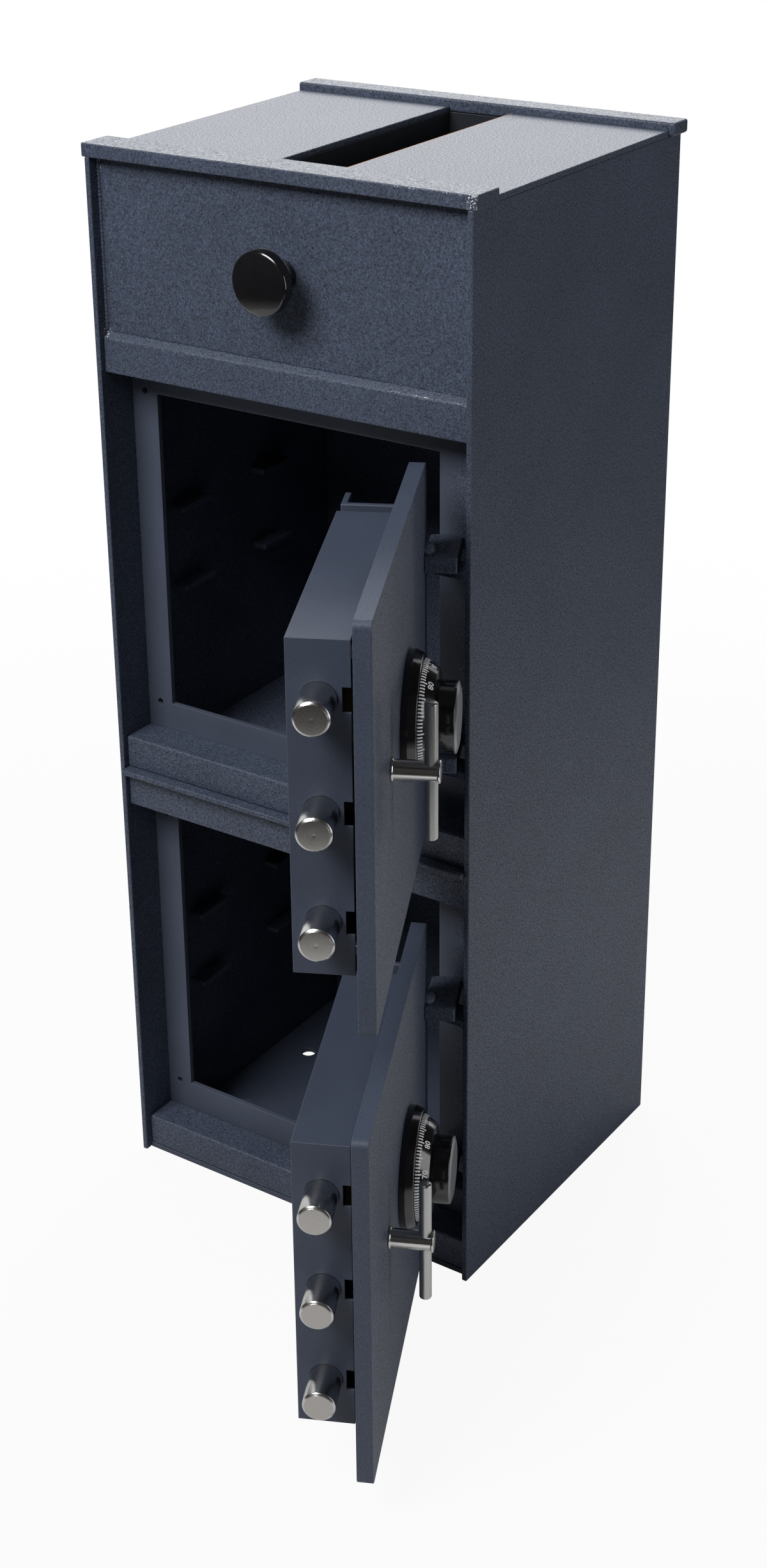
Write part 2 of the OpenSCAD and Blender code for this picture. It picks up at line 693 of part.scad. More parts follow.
// Stem with a collar at each end, and the spindle to the crank
module handle_stem(d) color("white") on_door(d) translate([-handle_x, 0, handle_z])
    difference() {
        union() {
            translate([0, -stem_l, 0]) rod_y(stem_d / 2, stem_l - run_gap);
            for (y = [-stem_l, -collar_t])
                translate([0, y, 0]) rod_y(collar_d / 2, collar_t - run_gap);
            translate([0, -cut, 0]) rod_y(spindle_d / 2, crank_y + crank_t + cut);
        }
        translate([0, -bar_out, -stem_d]) cylinder(r = bar_d / 2 + seat_gap, h = 2 * stem_d);
    }

module handle_bar(d) color("silver") on_door(d)
    translate([-handle_x, -bar_out, handle_z - bar_l / 2]) cylinder(d = bar_d, h = bar_l);

// Hub, arm and pin: the pin runs in the yoke's slot
module crank(d) color("silver") on_door(d) translate([-handle_x, crank_y, handle_z]) {
    pin_at = [crank_pin_x + handle_x, crank_pin_z - handle_z];
    translate([0, crank_t, 0]) rotate([90, 0, 0]) linear_extrude(crank_t) difference() {
        union() {
            circle(hub_r);
            rotate(half_turn) translate([-crank_w / 2, 0]) square([crank_w, crank_r]);
            translate(pin_at) circle(crank_eye_r);
        }
        circle(spindle_d / 2 + seat_gap);
    }
    translate([pin_at[0], crank_t / 2, pin_at[1]])
        rod_y(crank_pin_d / 2, yoke_y + yoke_t - crank_y - crank_t / 2);
}

// Graduated skirt, grip and satin cap
module dial(d) color("black") on_door(d) translate([-dial_x, 0, dial_z])
    difference() {
        rotate([90, 0, 0]) rotate_extrude() polygon([
            [0, dial_gap], [ring_d / 2 - ring_rim - dial_gap, dial_gap],
            [ring_d / 2 - ring_rim - dial_gap, dial_gap + dial_skirt_t],
            [dial_knob_d / 2 + dial_step, dial_gap + dial_skirt_t + dial_cone_h],
            [dial_knob_d / 2, dial_gap + dial_skirt_t + dial_cone_h],
            [dial_knob_d / 2, dial_out - dial_cap_t],
            [dial_cap_d / 2, dial_out], [0, dial_out]]);
        translate([0, -dial_seat, 0])
            rod_y(dial_spindle_d / 2 + seat_gap, dial_seat + cut);
    }

// Spindle with the drive wheel inside the lock case
module dial_spindle(d) color("silver") on_door(d) translate([-dial_x, 0, dial_z]) {
    translate([0, -dial_seat, 0]) rod_y(dial_spindle_d / 2, dial_seat + drive_y + wheel_t);
    translate([0, drive_y, 0]) rod_y(wheel_d / 2, wheel_t);
}

side_wall_left();
side_wall_right();
back_panel();
floor_plate();
top_plate_left();
top_plate_right();
front_top_bar();
rear_lip_bar();
head_panel();
upper_lintel();
mid_sill();
divider_plate();
lower_lintel();
bottom_sill();
upper_door_frame();
lower_door_frame();
ceiling_plate();
hopper_left();
hopper_right();
hopper_front();
hopper_rear();
shaft_bushes();
shelf_tabs();
hinge_lugs();
hinge_pins();
deposit_trough();
deposit_shaft();
deposit_knob();
door_plate(UPPER);  // upper_door_plate
hinge_arms(UPPER);  // upper_hinge_arms
bolt_box(UPPER);  // upper_bolt_box
box_posts(UPPER);  // upper_box_posts
dead_bar(UPPER);  // upper_dead_bar
lock_case(UPPER);  // upper_lock_case
lock_bolt(UPPER);  // upper_lock_bolt
combination_wheels(UPPER);  // upper_combination_wheels
dial_ring(UPPER);  // upper_dial_ring
bolts(UPPER);  // upper_bolts
bolt_carrier(UPPER);  // upper_bolt_carrier
handle_stem(UPPER);  // upper_handle_stem
handle_bar(UPPER);  // upper_handle_bar
crank(UPPER);  // upper_crank
dial(UPPER);  // upper_dial
dial_spindle(UPPER);  // upper_dial_spindle
door_plate(LOWER);  // lower_door_plate
hinge_arms(LOWER);  // lower_hinge_arms
bolt_box(LOWER);  // lower_bolt_box
box_posts(LOWER);  // lower_box_posts
dead_bar(LOWER);  // lower_dead_bar
lock_case(LOWER);  // lower_lock_case
lock_bolt(LOWER);  // lower_lock_bolt
combination_wheels(LOWER);  // lower_combination_wheels
dial_ring(LOWER);  // lower_dial_ring
bolts(LOWER);  // lower_bolts
bolt_carrier(LOWER);  // lower_bolt_carrier
handle_stem(LOWER);  // lower_handle_stem
handle_bar(LOWER);  // lower_handle_bar
crank(LOWER);  // lower_crank
dial(LOWER);  // lower_dial
dial_spindle(LOWER);  // lower_dial_spindle
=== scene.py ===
# %% [markdown]
# This lesson dresses a drop safe: a tall steel box with two thick doors, a knob
# that turns a deposit trough, and a slot in its top. Its plates, hinges and bolt
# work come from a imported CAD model, already in their true places in metres. Left
# to do here are the camera, the studio light, the finishes, the rounded edges and
# welds, and the turned parts whose rims, flutes and figures make it look real.

import json
import math

import bmesh
import bpy
import numpy as np
from mathutils import Matrix, Vector

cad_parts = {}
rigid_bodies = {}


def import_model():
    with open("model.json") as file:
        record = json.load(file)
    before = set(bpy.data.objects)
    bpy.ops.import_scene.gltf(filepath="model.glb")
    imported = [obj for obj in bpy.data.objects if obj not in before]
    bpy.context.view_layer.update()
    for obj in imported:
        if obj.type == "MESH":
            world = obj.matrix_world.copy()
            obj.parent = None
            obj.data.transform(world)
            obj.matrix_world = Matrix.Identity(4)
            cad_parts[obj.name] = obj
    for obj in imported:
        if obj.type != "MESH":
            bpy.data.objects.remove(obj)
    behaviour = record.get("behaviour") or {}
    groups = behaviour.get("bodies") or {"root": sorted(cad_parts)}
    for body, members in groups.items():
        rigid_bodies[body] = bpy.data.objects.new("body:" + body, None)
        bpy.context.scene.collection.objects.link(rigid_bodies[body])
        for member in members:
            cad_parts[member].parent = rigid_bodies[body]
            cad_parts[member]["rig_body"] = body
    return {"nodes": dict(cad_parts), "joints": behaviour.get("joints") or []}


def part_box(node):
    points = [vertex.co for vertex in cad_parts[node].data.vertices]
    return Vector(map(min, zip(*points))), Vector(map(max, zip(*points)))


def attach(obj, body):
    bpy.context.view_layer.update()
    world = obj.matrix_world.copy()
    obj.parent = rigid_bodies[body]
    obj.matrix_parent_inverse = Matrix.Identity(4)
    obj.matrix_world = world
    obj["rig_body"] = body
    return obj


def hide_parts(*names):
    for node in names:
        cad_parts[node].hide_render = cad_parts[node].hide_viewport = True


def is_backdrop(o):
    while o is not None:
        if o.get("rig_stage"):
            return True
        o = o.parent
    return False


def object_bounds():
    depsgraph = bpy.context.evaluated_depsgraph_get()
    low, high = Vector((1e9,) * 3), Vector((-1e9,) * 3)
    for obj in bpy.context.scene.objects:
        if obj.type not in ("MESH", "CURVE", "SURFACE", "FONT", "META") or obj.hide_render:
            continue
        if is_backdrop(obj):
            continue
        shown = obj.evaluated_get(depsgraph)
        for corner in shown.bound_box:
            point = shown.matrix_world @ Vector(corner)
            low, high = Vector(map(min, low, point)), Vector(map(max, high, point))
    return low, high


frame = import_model()
nodes = frame["nodes"]
joints = {joint["name"]: joint for joint in frame["joints"]}
MM = 0.001
DOORS = ("upper", "lower")
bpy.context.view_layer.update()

# %% [markdown]
# The camera repeats the photograph's view. Its place and focal length were
# solved from the safe's own edges, so an edge here falls on the same edge in the
# picture. The focal length is known in pixels, and Blender wants it in
# millimetres of a 36 mm sensor along the longer side. The picture is a crop, so
# its optical centre is off the middle, which the two shift values say.

# %% Camera
PICTURE_W, PICTURE_H = 1200, 2454
SENSOR = 36.0
FOCAL_PX = 3731.62
CENTRE_PX = (536.06, 1045.0)
AZIMUTH, ELEVATION, ROLL = 34.97, 24.0, -1.0
DISTANCE, FARTHEST = 1.88848, 50
AIM = Vector((0.05968, -0.1585, 0.54995))


def camera_turn(*angles):
    """Turn whose columns point right, up and back from the camera, for its azimuth, elevation and roll."""
    a, e, r = (math.radians(angle) for angle in angles)
    back = Vector((math.sin(a) * math.cos(e), -math.cos(a) * math.cos(e), math.sin(e)))
    right = Vector((math.cos(a), math.sin(a), 0.0))
    up = back.cross(right)
    rolled = right * math.cos(r) + up * math.sin(r)
    return Matrix((rolled, up * math.cos(r) - right * math.sin(r), back)).transposed()


def linked(name, data):
    """A new object in the scene."""
    thing = bpy.data.objects.new(name, data)
    scene.collection.objects.link(thing)
    return thing


scene = bpy.context.scene
camera_data = bpy.data.cameras.new("camera")
camera = linked("camera", camera_data)
turn = camera_turn(AZIMUTH, ELEVATION, ROLL)
camera.matrix_world = Matrix.Translation(AIM + turn.col[2] * DISTANCE) @ turn.to_4x4()
camera_data.sensor_width = SENSOR
camera_data.lens = FOCAL_PX * SENSOR / PICTURE_H
camera_data.shift_x = (PICTURE_W / 2 - CENTRE_PX[0]) / PICTURE_H
camera_data.shift_y = (CENTRE_PX[1] - PICTURE_H / 2) / PICTURE_H
camera_data.clip_end = FARTHEST
scene.camera = camera
scene.view_settings.view_transform = "Standard"
print("lens", round(camera_data.lens, 2), "mm")

# %% [markdown]
# A finish is a small net of shader nodes. These helpers keep such nets short:
# two fill sockets and add a node, and the rest are the few nodes that every
# finish needs. A noise seldom leaves the span that is named here, so stretching
# it over 0 to 1 uses the whole range.

# %% Helpers for shader nodes
NOISE_SPAN = (0.3, 0.7)
NO_VECTOR = (0.0, 0.0, 0.0)


def fill(tree, node, **values):
    """Sets each socket named, or numbered after a low line, to its value, or links it to a socket."""
    for name, value in values.items():
        numbered = name[0] == "_"
        socket = node.inputs[int(name[1:])] if numbered else node.inputs[name.replace("_", " ")]
        if isinstance(value, bpy.types.NodeSocket):
            tree.links.new(value, socket)
        else:
            socket.default_value = value


def add(tree, kind, *, at=None, **values):
    """A new node of a tree, with its attributes set and its sockets filled."""
    node = tree.nodes.new(kind)
    for attribute, value in (at or {}).items():
        setattr(node, attribute, value)
    fill(tree, node, **values)
    return node


def calc(tree, operation, first, second):
    """Output of a Math node."""
    return add(tree, "ShaderNodeMath", at={"operation": operation}, _0=first, _1=second).outputs[0]


def ramp(tree, value, low, high, to_low=0.0, to_high=1.0, kind="LINEAR"):
    """Output of a Map Range node: to_low at low, to_high at high, and held beyond them."""
    ends = {"From_Min": low, "From_Max": high, "To_Min": to_low, "To_Max": to_high}
    return add(tree, "ShaderNodeMapRange", at={"interpolation_type": kind}, Value=value, **ends).outputs[0]


def noise(tree, place, per_metre, detail=2.0, roughness=0.5):
    """Value of a Noise Texture, about a half, that changes so many times in a metre."""
    ways = {"Scale": per_metre, "Detail": detail, "Roughness": roughness}
    return add(tree, "ShaderNodeTexNoise", Vector=place, **ways).outputs["Fac"]


def object_place(tree):
    """Place on the object, in metres of the safe's own frame."""
    return add(tree, "ShaderNodeTexCoord").outputs["Object"]


def mix(tree, factor, first, second, blend="MIX"):
    """Colour output of a Mix node: first where the factor is 0, second where it is 1."""
    first, second = ((*c, 1.0) if isinstance(c, tuple) else c for c in (first, second))
    ways = {"data_type": "RGBA", "blend_type": blend}
    return add(tree, "ShaderNodeMix", at=ways, _0=factor, _6=first, _7=second).outputs[2]


def shaded(tree, colour, factor):
    """A colour times a number that changes over the surface."""
    grey = add(tree, "ShaderNodeCombineXYZ", X=factor, Y=factor, Z=factor)
    return mix(tree, 1.0, colour, grey.outputs[0], "MULTIPLY")


def new_group(name, inputs, outputs):
    """A node group with sockets given as {name: default number or vector}, and its two end nodes."""
    group = bpy.data.node_groups.new(name, "ShaderNodeTree")
    for in_out, sockets in (("INPUT", inputs), ("OUTPUT", outputs)):
        for label, default in sockets.items():
            kind = "NodeSocketVector" if isinstance(default, tuple) else "NodeSocketFloat"
            group.interface.new_socket(label, in_out=in_out, socket_type=kind).default_value = default
    return group, group.nodes.new("NodeGroupInput"), group.nodes.new("NodeGroupOutput")


# %% [markdown]
# The casing is powder coated. Powder melts into a skin that is never quite flat:
# small swells catch the light, and dark and pale grains lie scattered through it.
# One noise gives the mottled tone, and its rare low and high places give the
# grains, so that dark grains and pale grains never fall on each other. A second,
# slower noise gives the swells.

# %% Powder skin group
DARK_SPAN, PALE_SPAN = (0.37, 0.28), (0.62, 0.74)
GRAIN_NOISE, SWELL_NOISE = (2.2, 0.55), (3.0, 0.6)
SWELL_RATE, GRAIN_IN_HEIGHT = 0.7, 0.5
powder, source, sink = new_group(
    "powder skin", {"Grain Size": 1.4, "Share": 1.0}, {"Tone": 0.0, "Dark": 0.0, "Pale": 0.0, "Height": 0.0}
)
place = object_place(powder)
per_metre = calc(powder, "DIVIDE", 1.0 / MM, source.outputs["Grain Size"])
grain = noise(powder, place, per_metre, *GRAIN_NOISE)
swell = noise(powder, place, calc(powder, "MULTIPLY", per_metre, SWELL_RATE), *SWELL_NOISE)
share = source.outputs["Share"]
off_middle = calc(powder, "SUBTRACT", ramp(powder, grain, *NOISE_SPAN), 0.5)
dark = ramp(powder, grain, *DARK_SPAN, kind="SMOOTHSTEP")
pale = ramp(powder, grain, *PALE_SPAN, kind="SMOOTHSTEP")
height = calc(powder, "ADD", calc(powder, "MULTIPLY", grain, GRAIN_IN_HEIGHT), swell)
fill(
    powder, sink,
    Tone=calc(powder, "ADD", 0.5, calc(powder, "MULTIPLY", off_middle, share)),
    Dark=calc(powder, "MULTIPLY", dark, share),
    Pale=calc(powder, "MULTIPLY", pale, share),
    Height=calc(powder, "MULTIPLY", height, share),
)
print("powder skin:", len(powder.nodes), "nodes")

# %% [markdown]
# No plate has a perfectly sharp edge, and paint wears thin there first. The Bevel
# node returns the normal that a slightly rounded edge would have. The more it
# differs from the face's own normal, the nearer the point lies to an edge, which
# gives both the rounded look and a mask of the rim. Noise breaks the mask, so
# that chips come in short runs.

# %% Edge group
RIM_COSINES = (0.995, 0.90)
RUNS = (90.0, 5.0, 0.7)
CHIP_LIMITS = (0.80, 0.50)
edge, source, sink = new_group(
    "edge wear", {"Radius": 0.0008, "Chips": 0.5}, {"Normal": NO_VECTOR, "Chip": 0.0, "Rim": 0.0}
)
rounded = add(edge, "ShaderNodeBevel", at={"samples": 6}, Radius=source.outputs["Radius"]).outputs[0]
own = add(edge, "ShaderNodeNewGeometry").outputs["True Normal"]
alike = add(edge, "ShaderNodeVectorMath", at={"operation": "DOT_PRODUCT"}, _0=rounded, _1=own)
rim = ramp(edge, alike.outputs["Value"], *RIM_COSINES)
runs = noise(edge, object_place(edge), *RUNS)
limit = ramp(edge, source.outputs["Chips"], 0.0, 1.0, *CHIP_LIMITS)
chip = calc(edge, "MULTIPLY", calc(edge, "GREATER_THAN", runs, limit), rim)
fill(edge, sink, Normal=rounded, Chip=chip, Rim=rim)
print("edge wear:", len(edge.nodes), "nodes")

# %% [markdown]
# Large painted plates aren't one flat tone. A slow cloud of noise, a few
# centimetres across, varies the colour a little, as handling and spraying do.

# %% Cloud group
CLOUD_DETAIL = 3.0
cloud, source, sink = new_group("slow clouds", {"Size": 60.0, "Depth": 0.15}, {"Factor": 0.0})
per_metre = calc(cloud, "DIVIDE", 1.0 / MM, source.outputs["Size"])
drift = noise(cloud, object_place(cloud), per_metre, CLOUD_DETAIL)
least = calc(cloud, "SUBTRACT", 1.0, source.outputs["Depth"])
most = calc(cloud, "ADD", 1.0, source.outputs["Depth"])
fill(cloud, sink, Factor=ramp(cloud, drift, *NOISE_SPAN, least, most))
print("slow clouds:", len(cloud.nodes), "nodes")

# %% [markdown]
# Some marks are in one place only: a knocked corner, or rust along a cut edge. A
# region is a box in the safe's own frame. Its mask is 1 inside and falls to 0
# within a soft margin at the box's faces.

# %% Region group
region, source, sink = new_group(
    "region", {"Low": NO_VECTOR, "High": NO_VECTOR, "Soft": 0.001}, {"Mask": 0.0}
)
place = object_place(region)
gaps = [
    add(region, "ShaderNodeVectorMath", at={"operation": "SUBTRACT"}, _0=first, _1=second).outputs[0]
    for first, second in ((place, source.outputs["Low"]), (source.outputs["High"], place))
]
nearest = add(region, "ShaderNodeVectorMath", at={"operation": "MINIMUM"}, _0=gaps[0], _1=gaps[1])
x, y, z = add(region, "ShaderNodeSeparateXYZ", Vector=nearest.outputs[0]).outputs
least = calc(region, "MINIMUM", calc(region, "MINIMUM", x, y), z)
fill(region, sink, Mask=ramp(region, least, 0.0, source.outputs["Soft"]))
print("region:", len(region.nodes), "nodes")

# %% [markdown]
# Every finish ends in one Principled shader, because it keeps the energy of the
# light right whatever colour, roughness and normal it is given. The groups above
# only prepare those values.

# %% Helpers for materials


def emptied(data):
    """Node tree of a material or a world, without the nodes that it begins with."""
    data.use_nodes = True
    data.node_tree.nodes.clear()
    return data.node_tree


def new_material(name):
    """A material with an empty tree, its output and a Principled shader."""
    material = bpy.data.materials.new(name)
    tree = emptied(material)
    shader = tree.nodes.new("ShaderNodeBsdfPrincipled")
    output = tree.nodes.new("ShaderNodeOutputMaterial")
    tree.links.new(shader.outputs[0], output.inputs["Surface"])
    return material, tree, shader


def use(tree, group, **values):
    """One of the groups above, placed in a material with its own values."""
    return add(tree, "ShaderNodeGroup", at={"node_tree": group}, **values)


# %% [markdown]
# The marks of age have real places. The front corner of the top bar has been
# knocked, and the welds at the corners of the head panel show white through the
# coat. The slot was cut after painting, so its right and front edges have rusted.
# Each place is measured from the plate that carries it.

# %% Places of wear
bar_low, bar_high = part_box("front_top_bar")
head_low, head_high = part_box("head_panel")
slot_left, slot_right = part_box("top_plate_left")[1].x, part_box("top_plate_right")[0].x
slot_front, slot_back = bar_high.y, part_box("rear_lip_bar")[0].y
top_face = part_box("top_plate_left")[1].z


def around(point, before, after):
    """Box round a point: its low corner lies before the point and its high corner after it, in mm."""
    return tuple(p - b * MM for p, b in zip(point, before)), tuple(p + a * MM for p, a in zip(point, after))


bar_corner = (bar_high.x, bar_low.y, bar_high.z)
crease_left, crease_right = head_low, (head_high.x, head_low.y, head_low.z)
seam_top = (head_low.x, head_low.y, head_high.z)
FLECKED = [
    (*around(bar_corner, (8, 1, 11), (1, 3, 1)), 0.53),
    (*around(bar_corner, (70, 1, 1.8), (1, 1.2, 1)), 0.61),
    (*around(crease_left, (1, 5, 6), (5, 1, 3)), 0.53),
    (*around(crease_right, (75, 6, 0.4), (1, 1, 1.0)), 0.56),
    (*around(crease_right, (75, 6, 4.8), (1, 1, -3.6)), 0.56),
    (*around(seam_top, (1, 2, 13), (3, 1, 0)), 0.52),
]
RUSTED = [
    around((slot_right, slot_front, top_face), (0.5, 0, 1.2), (1.4, (slot_back - slot_front) / MM, 1)),
    around((slot_left, slot_front, bar_high.z), (0, 1.2, 1.2), ((slot_right - slot_left) / MM, 0.5, 1)),
]
print("slot", round((slot_right - slot_left) / MM, 1), "mm wide")

# %% [markdown]
# The coated steel is a dark slate blue with near-black and pale grains. The
# grains are shades of the body colour, so one colour sets them all. Where a plate
# was painted smooth, such as a door's edges, the share of grain falls. The skin's
# swells are low, so the Bump distance is small, but they break every reflection
# and make the coat look soft. Dark grains and rust are duller than the skin.

# %% Coated and painted steel
SIDE_ATTRIBUTE = "smooth_side"
FLECK_WHITE = (0.66, 0.68, 0.72)
RUST = (0.36, 0.13, 0.05)
BARE_STEEL = (0.36, 0.37, 0.39)
# Paler grey that every rim is mixed towards: a painted highlight on the edges.
RIM_HIGHLIGHT_GREY = (0.20, 0.21, 0.23)
TONES, DULL_AND_GLOSSY = (0.40, 1.60), (0.14, -0.10)
COAT_CLOUD = {"Size": 70.0, "Depth": 0.07}
DARK_GRAIN, DARK_COVER, DARK_DULL = 0.16, 0.45, 0.30
PALE_GRAIN, PALE_COVER = 2.2, 0.65
SPECKS = (650.0, 2.0, 0.5)
FLECK_SOFT, FLECK_SPAN = 0.0008, 0.12
RUST_SOFT, RUST_SPAN, RUST_DULL = 0.0002, (0.25, 0.40), 0.4
SWELL_HEIGHT = 0.0006
COAT_SPECULAR = 0.35
SIDE_SHARE = 0.30
DRIFT_SHIFT, DRIFT_RAGGED, DRIFT_NOISE = 0.020, 0.03, (120.0, 4.0)
DRIFT_SPAN, DRIFT_SHARES = (0.154, 0.172), (0.12, 1.0)


def tinted(colour, factor):
    """A colour made darker or paler by a factor."""
    return tuple(channel * factor for channel in colour)


def coated_steel(name, body, *, grain=1.4, share=1.0, bump=0.5, rough=0.5, chips=0.2, radius=0.0009,
                 rim=0.2, flecks=(), rust=()):
    """Powder coat: tone and grains over a body colour, chips at the edges, a painted highlight on the rims,
    and flecks and rust.
    """
    material, tree, shader = new_material(name)
    skin = use(tree, powder, Grain_Size=grain, Share=share(tree) if callable(share) else share)
    wear = use(tree, edge, Radius=radius, Chips=chips)
    tone, dark, pale, height = skin.outputs
    colour = mix(tree, tone, *(tinted(body, factor) for factor in TONES))
    colour = mix(tree, calc(tree, "MULTIPLY", dark, DARK_COVER), colour, tinted(body, DARK_GRAIN))
    colour = mix(tree, calc(tree, "MULTIPLY", pale, PALE_COVER), colour, tinted(body, PALE_GRAIN))
    colour = shaded(tree, colour, use(tree, cloud, **COAT_CLOUD).outputs[0])
    # Every rim is mixed towards a paler grey: a painted highlight where rounded edges catch the light.
    colour = mix(tree, calc(tree, "MULTIPLY", wear.outputs["Rim"], rim), colour, RIM_HIGHLIGHT_GREY)
    colour = mix(tree, wear.outputs["Chip"], colour, BARE_STEEL)
    dullness = ramp(tree, tone, 0.0, 1.0, *(rough + change for change in DULL_AND_GLOSSY))
    dullness = calc(tree, "ADD", dullness, calc(tree, "MULTIPLY", dark, DARK_DULL))
    specks = noise(tree, object_place(tree), *SPECKS)
    for low, high, limit in flecks:
        mask = use(tree, region, Low=low, High=high, Soft=FLECK_SOFT).outputs[0]
        mask = calc(tree, "MULTIPLY", mask, ramp(tree, specks, limit, limit + FLECK_SPAN))
        colour = mix(tree, mask, colour, FLECK_WHITE)
    for low, high in rust:
        mask = use(tree, region, Low=low, High=high, Soft=RUST_SOFT).outputs[0]
        mask = calc(tree, "MULTIPLY", mask, ramp(tree, specks, *RUST_SPAN))
        colour = mix(tree, mask, colour, RUST)
        dullness = calc(tree, "ADD", dullness, calc(tree, "MULTIPLY", mask, RUST_DULL))
    relief = {"Height": height, "Normal": wear.outputs["Normal"]}
    bumped = add(tree, "ShaderNodeBump", Strength=bump, Distance=SWELL_HEIGHT, **relief).outputs[0]
    fill(tree, shader, Base_Color=colour, Roughness=dullness, Normal=bumped)
    fill(tree, shader, Specular_IOR_Level=COAT_SPECULAR)
    return material


def away_from_sides(tree):
    """Share of grain on a plate whose sides, marked by an attribute, were painted smooth."""
    side = add(tree, "ShaderNodeAttribute", at={"attribute_name": SIDE_ATTRIBUTE}).outputs["Fac"]
    return ramp(tree, side, 0.0, 1.0, 1.0, SIDE_SHARE)


def near_walls(tree):
    """Share of grain on the smooth frames: powder drifted onto them along the walls, most on the right.
    The distance across is taken from a line left of the middle, and made ragged by noise."""
    place = object_place(tree)
    x = add(tree, "ShaderNodeSeparateXYZ", Vector=place).outputs["X"]
    across = calc(tree, "ABSOLUTE", calc(tree, "ADD", x, DRIFT_SHIFT), 0.0)
    ragged = calc(tree, "SUBTRACT", noise(tree, place, *DRIFT_NOISE), 0.5)
    across = calc(tree, "ADD", across, calc(tree, "MULTIPLY", ragged, DRIFT_RAGGED))
    return ramp(tree, across, *DRIFT_SPAN, *DRIFT_SHARES)


SLATE = (0.052, 0.065, 0.098)
powder_coat = coated_steel("powder_coat", SLATE, share=away_from_sides)
worn_coat = coated_steel("worn_coat", SLATE, chips=0.5, radius=0.0011, flecks=FLECKED, rust=RUSTED)
# The welds' coat is 1.5 times paler than the casing's: a painted highlight for the light that the beads and
# lumps catch.
weld_highlight_coat = coated_steel("weld_highlight_coat", tinted(SLATE, 1.5), grain=1.1, bump=0.7, chips=0.6, radius=0.0005)
frame_paint = coated_steel("frame_paint", (0.064, 0.077, 0.110), share=near_walls, rough=0.44, chips=0.1)
satin_paint = coated_steel("satin_paint", (0.050, 0.062, 0.093), share=0.15, rough=0.42, chips=0.1, rim=0.3)
# The chute and trough are painted near-black: painted shade for the dark deep inside the slot.
chute_shade_paint = coated_steel("chute_shade_paint", (0.014, 0.017, 0.023), share=0.2, rough=0.5, chips=0.1)
print("coats:", len(worn_coat.node_tree.nodes), "nodes in the worn one")

# %% [markdown]
# Bare metals differ mostly in how they were worked. A drawn bar keeps streaks
# along its length, and polished chrome keeps almost nothing. A turned face keeps
# fine rings about its axis, so its noise runs along the distance from that axis,
# which the piece stores as its own attribute. The rings are too shallow to see,
# but their slopes spread the light.

# %% Metals
RADIUS_ATTRIBUTE = "turning_radius"
RINGS_PER_METRE = 2200.0
RING_BUMP = {"Strength": 0.12, "Distance": 0.00004}
RING_NOISE, STREAK_NOISE = (1.0, 3.0), (1.0, 4.0, 0.6)
ROUND_GRAIN = (400.0, 400.0, 400.0)
DRAWN_GRAIN = (900.0, 900.0, 30.0)
METAL_EDGE = 0.0004
STREAK_SPAN, STREAK_TONES = (0.25, 0.75), (0.93, 1.06)


def bare_metal(name, colour, rough, streak, grain=ROUND_GRAIN, turned=False):
    """Metal with streaks in its gloss and tone, which are rings on a turned face."""
    material, tree, shader = new_material(name)
    normal = use(tree, edge, Radius=METAL_EDGE, Chips=0.0).outputs["Normal"]
    if turned:
        radius = add(tree, "ShaderNodeAttribute", at={"attribute_name": RADIUS_ATTRIBUTE}).outputs["Fac"]
        rings = calc(tree, "MULTIPLY", radius, RINGS_PER_METRE)
        streaks = noise(tree, add(tree, "ShaderNodeCombineXYZ", X=rings).outputs[0], *RING_NOISE)
        normal = add(tree, "ShaderNodeBump", Height=streaks, Normal=normal, **RING_BUMP).outputs[0]
    else:
        stretched = add(tree, "ShaderNodeMapping", Vector=object_place(tree), Scale=grain).outputs[0]
        streaks = noise(tree, stretched, *STREAK_NOISE)
    dullness = ramp(tree, streaks, *NOISE_SPAN, rough, rough + streak)
    tone = shaded(tree, colour, ramp(tree, streaks, *STREAK_SPAN, *STREAK_TONES))
    fill(tree, shader, Metallic=1.0, Base_Color=tone, Roughness=dullness, Normal=normal)
    return material


chrome = bare_metal("polished_chrome", (0.66, 0.65, 0.63), 0.12, 0.06)
bolt_chrome = bare_metal("bolt_chrome", (0.58, 0.58, 0.57), 0.20, 0.08)
chrome_face = bare_metal("turned_chrome", (0.45, 0.43, 0.41), 0.22, 0.12, turned=True)
satin_steel = bare_metal("satin_steel", (0.47, 0.47, 0.46), 0.26, 0.14, DRAWN_GRAIN)
cap_steel = bare_metal("satin_cap", (0.20, 0.21, 0.22), 0.26, 0.10, turned=True)
zinc_plate = bare_metal("zinc_plate", (0.50, 0.51, 0.52), 0.34, 0.2)
brass = bare_metal("turned_brass", (0.62, 0.46, 0.20), 0.28, 0.15)
print("a turned metal:", len(chrome_face.node_tree.nodes), "nodes")

# %% [markdown]
# The knob and the dials are glossy black. Black gloss shows only what it
# reflects, so a faint haze of fine scratches and dust in its roughness is what
# keeps it from looking like a hole. The figures are plain white enamel.

# %% Gloss black and white
HAZE_NOISE, HAZE_SPAN, HAZE = (320.0, 6.0, 0.7), (0.35, 0.75), 0.16
HAZE_BUMP = {"Strength": 0.05, "Distance": 0.0002}
GLOSS_CLOUD = {"Size": 9.0, "Depth": 0.12}


def gloss_finish(name, colour, rough, coat):
    """Moulded or enamelled gloss with a light haze."""
    material, tree, shader = new_material(name)
    haze = noise(tree, object_place(tree), *HAZE_NOISE)
    dullness = ramp(tree, haze, *HAZE_SPAN, rough, rough + HAZE)
    tone = shaded(tree, colour, use(tree, cloud, **GLOSS_CLOUD).outputs[0])
    relief = add(tree, "ShaderNodeBump", Height=haze, **HAZE_BUMP).outputs[0]
    fill(tree, shader, Base_Color=tone, Roughness=dullness, Normal=relief, Coat_Weight=coat)
    return material


gloss_black = gloss_finish("gloss_black", (0.006, 0.006, 0.007), 0.08, 0.4)
white_enamel = gloss_finish("white_enamel", (0.90, 0.92, 0.95), 0.35, 0.0)
print("gloss:", len(gloss_black.node_tree.nodes), "nodes")
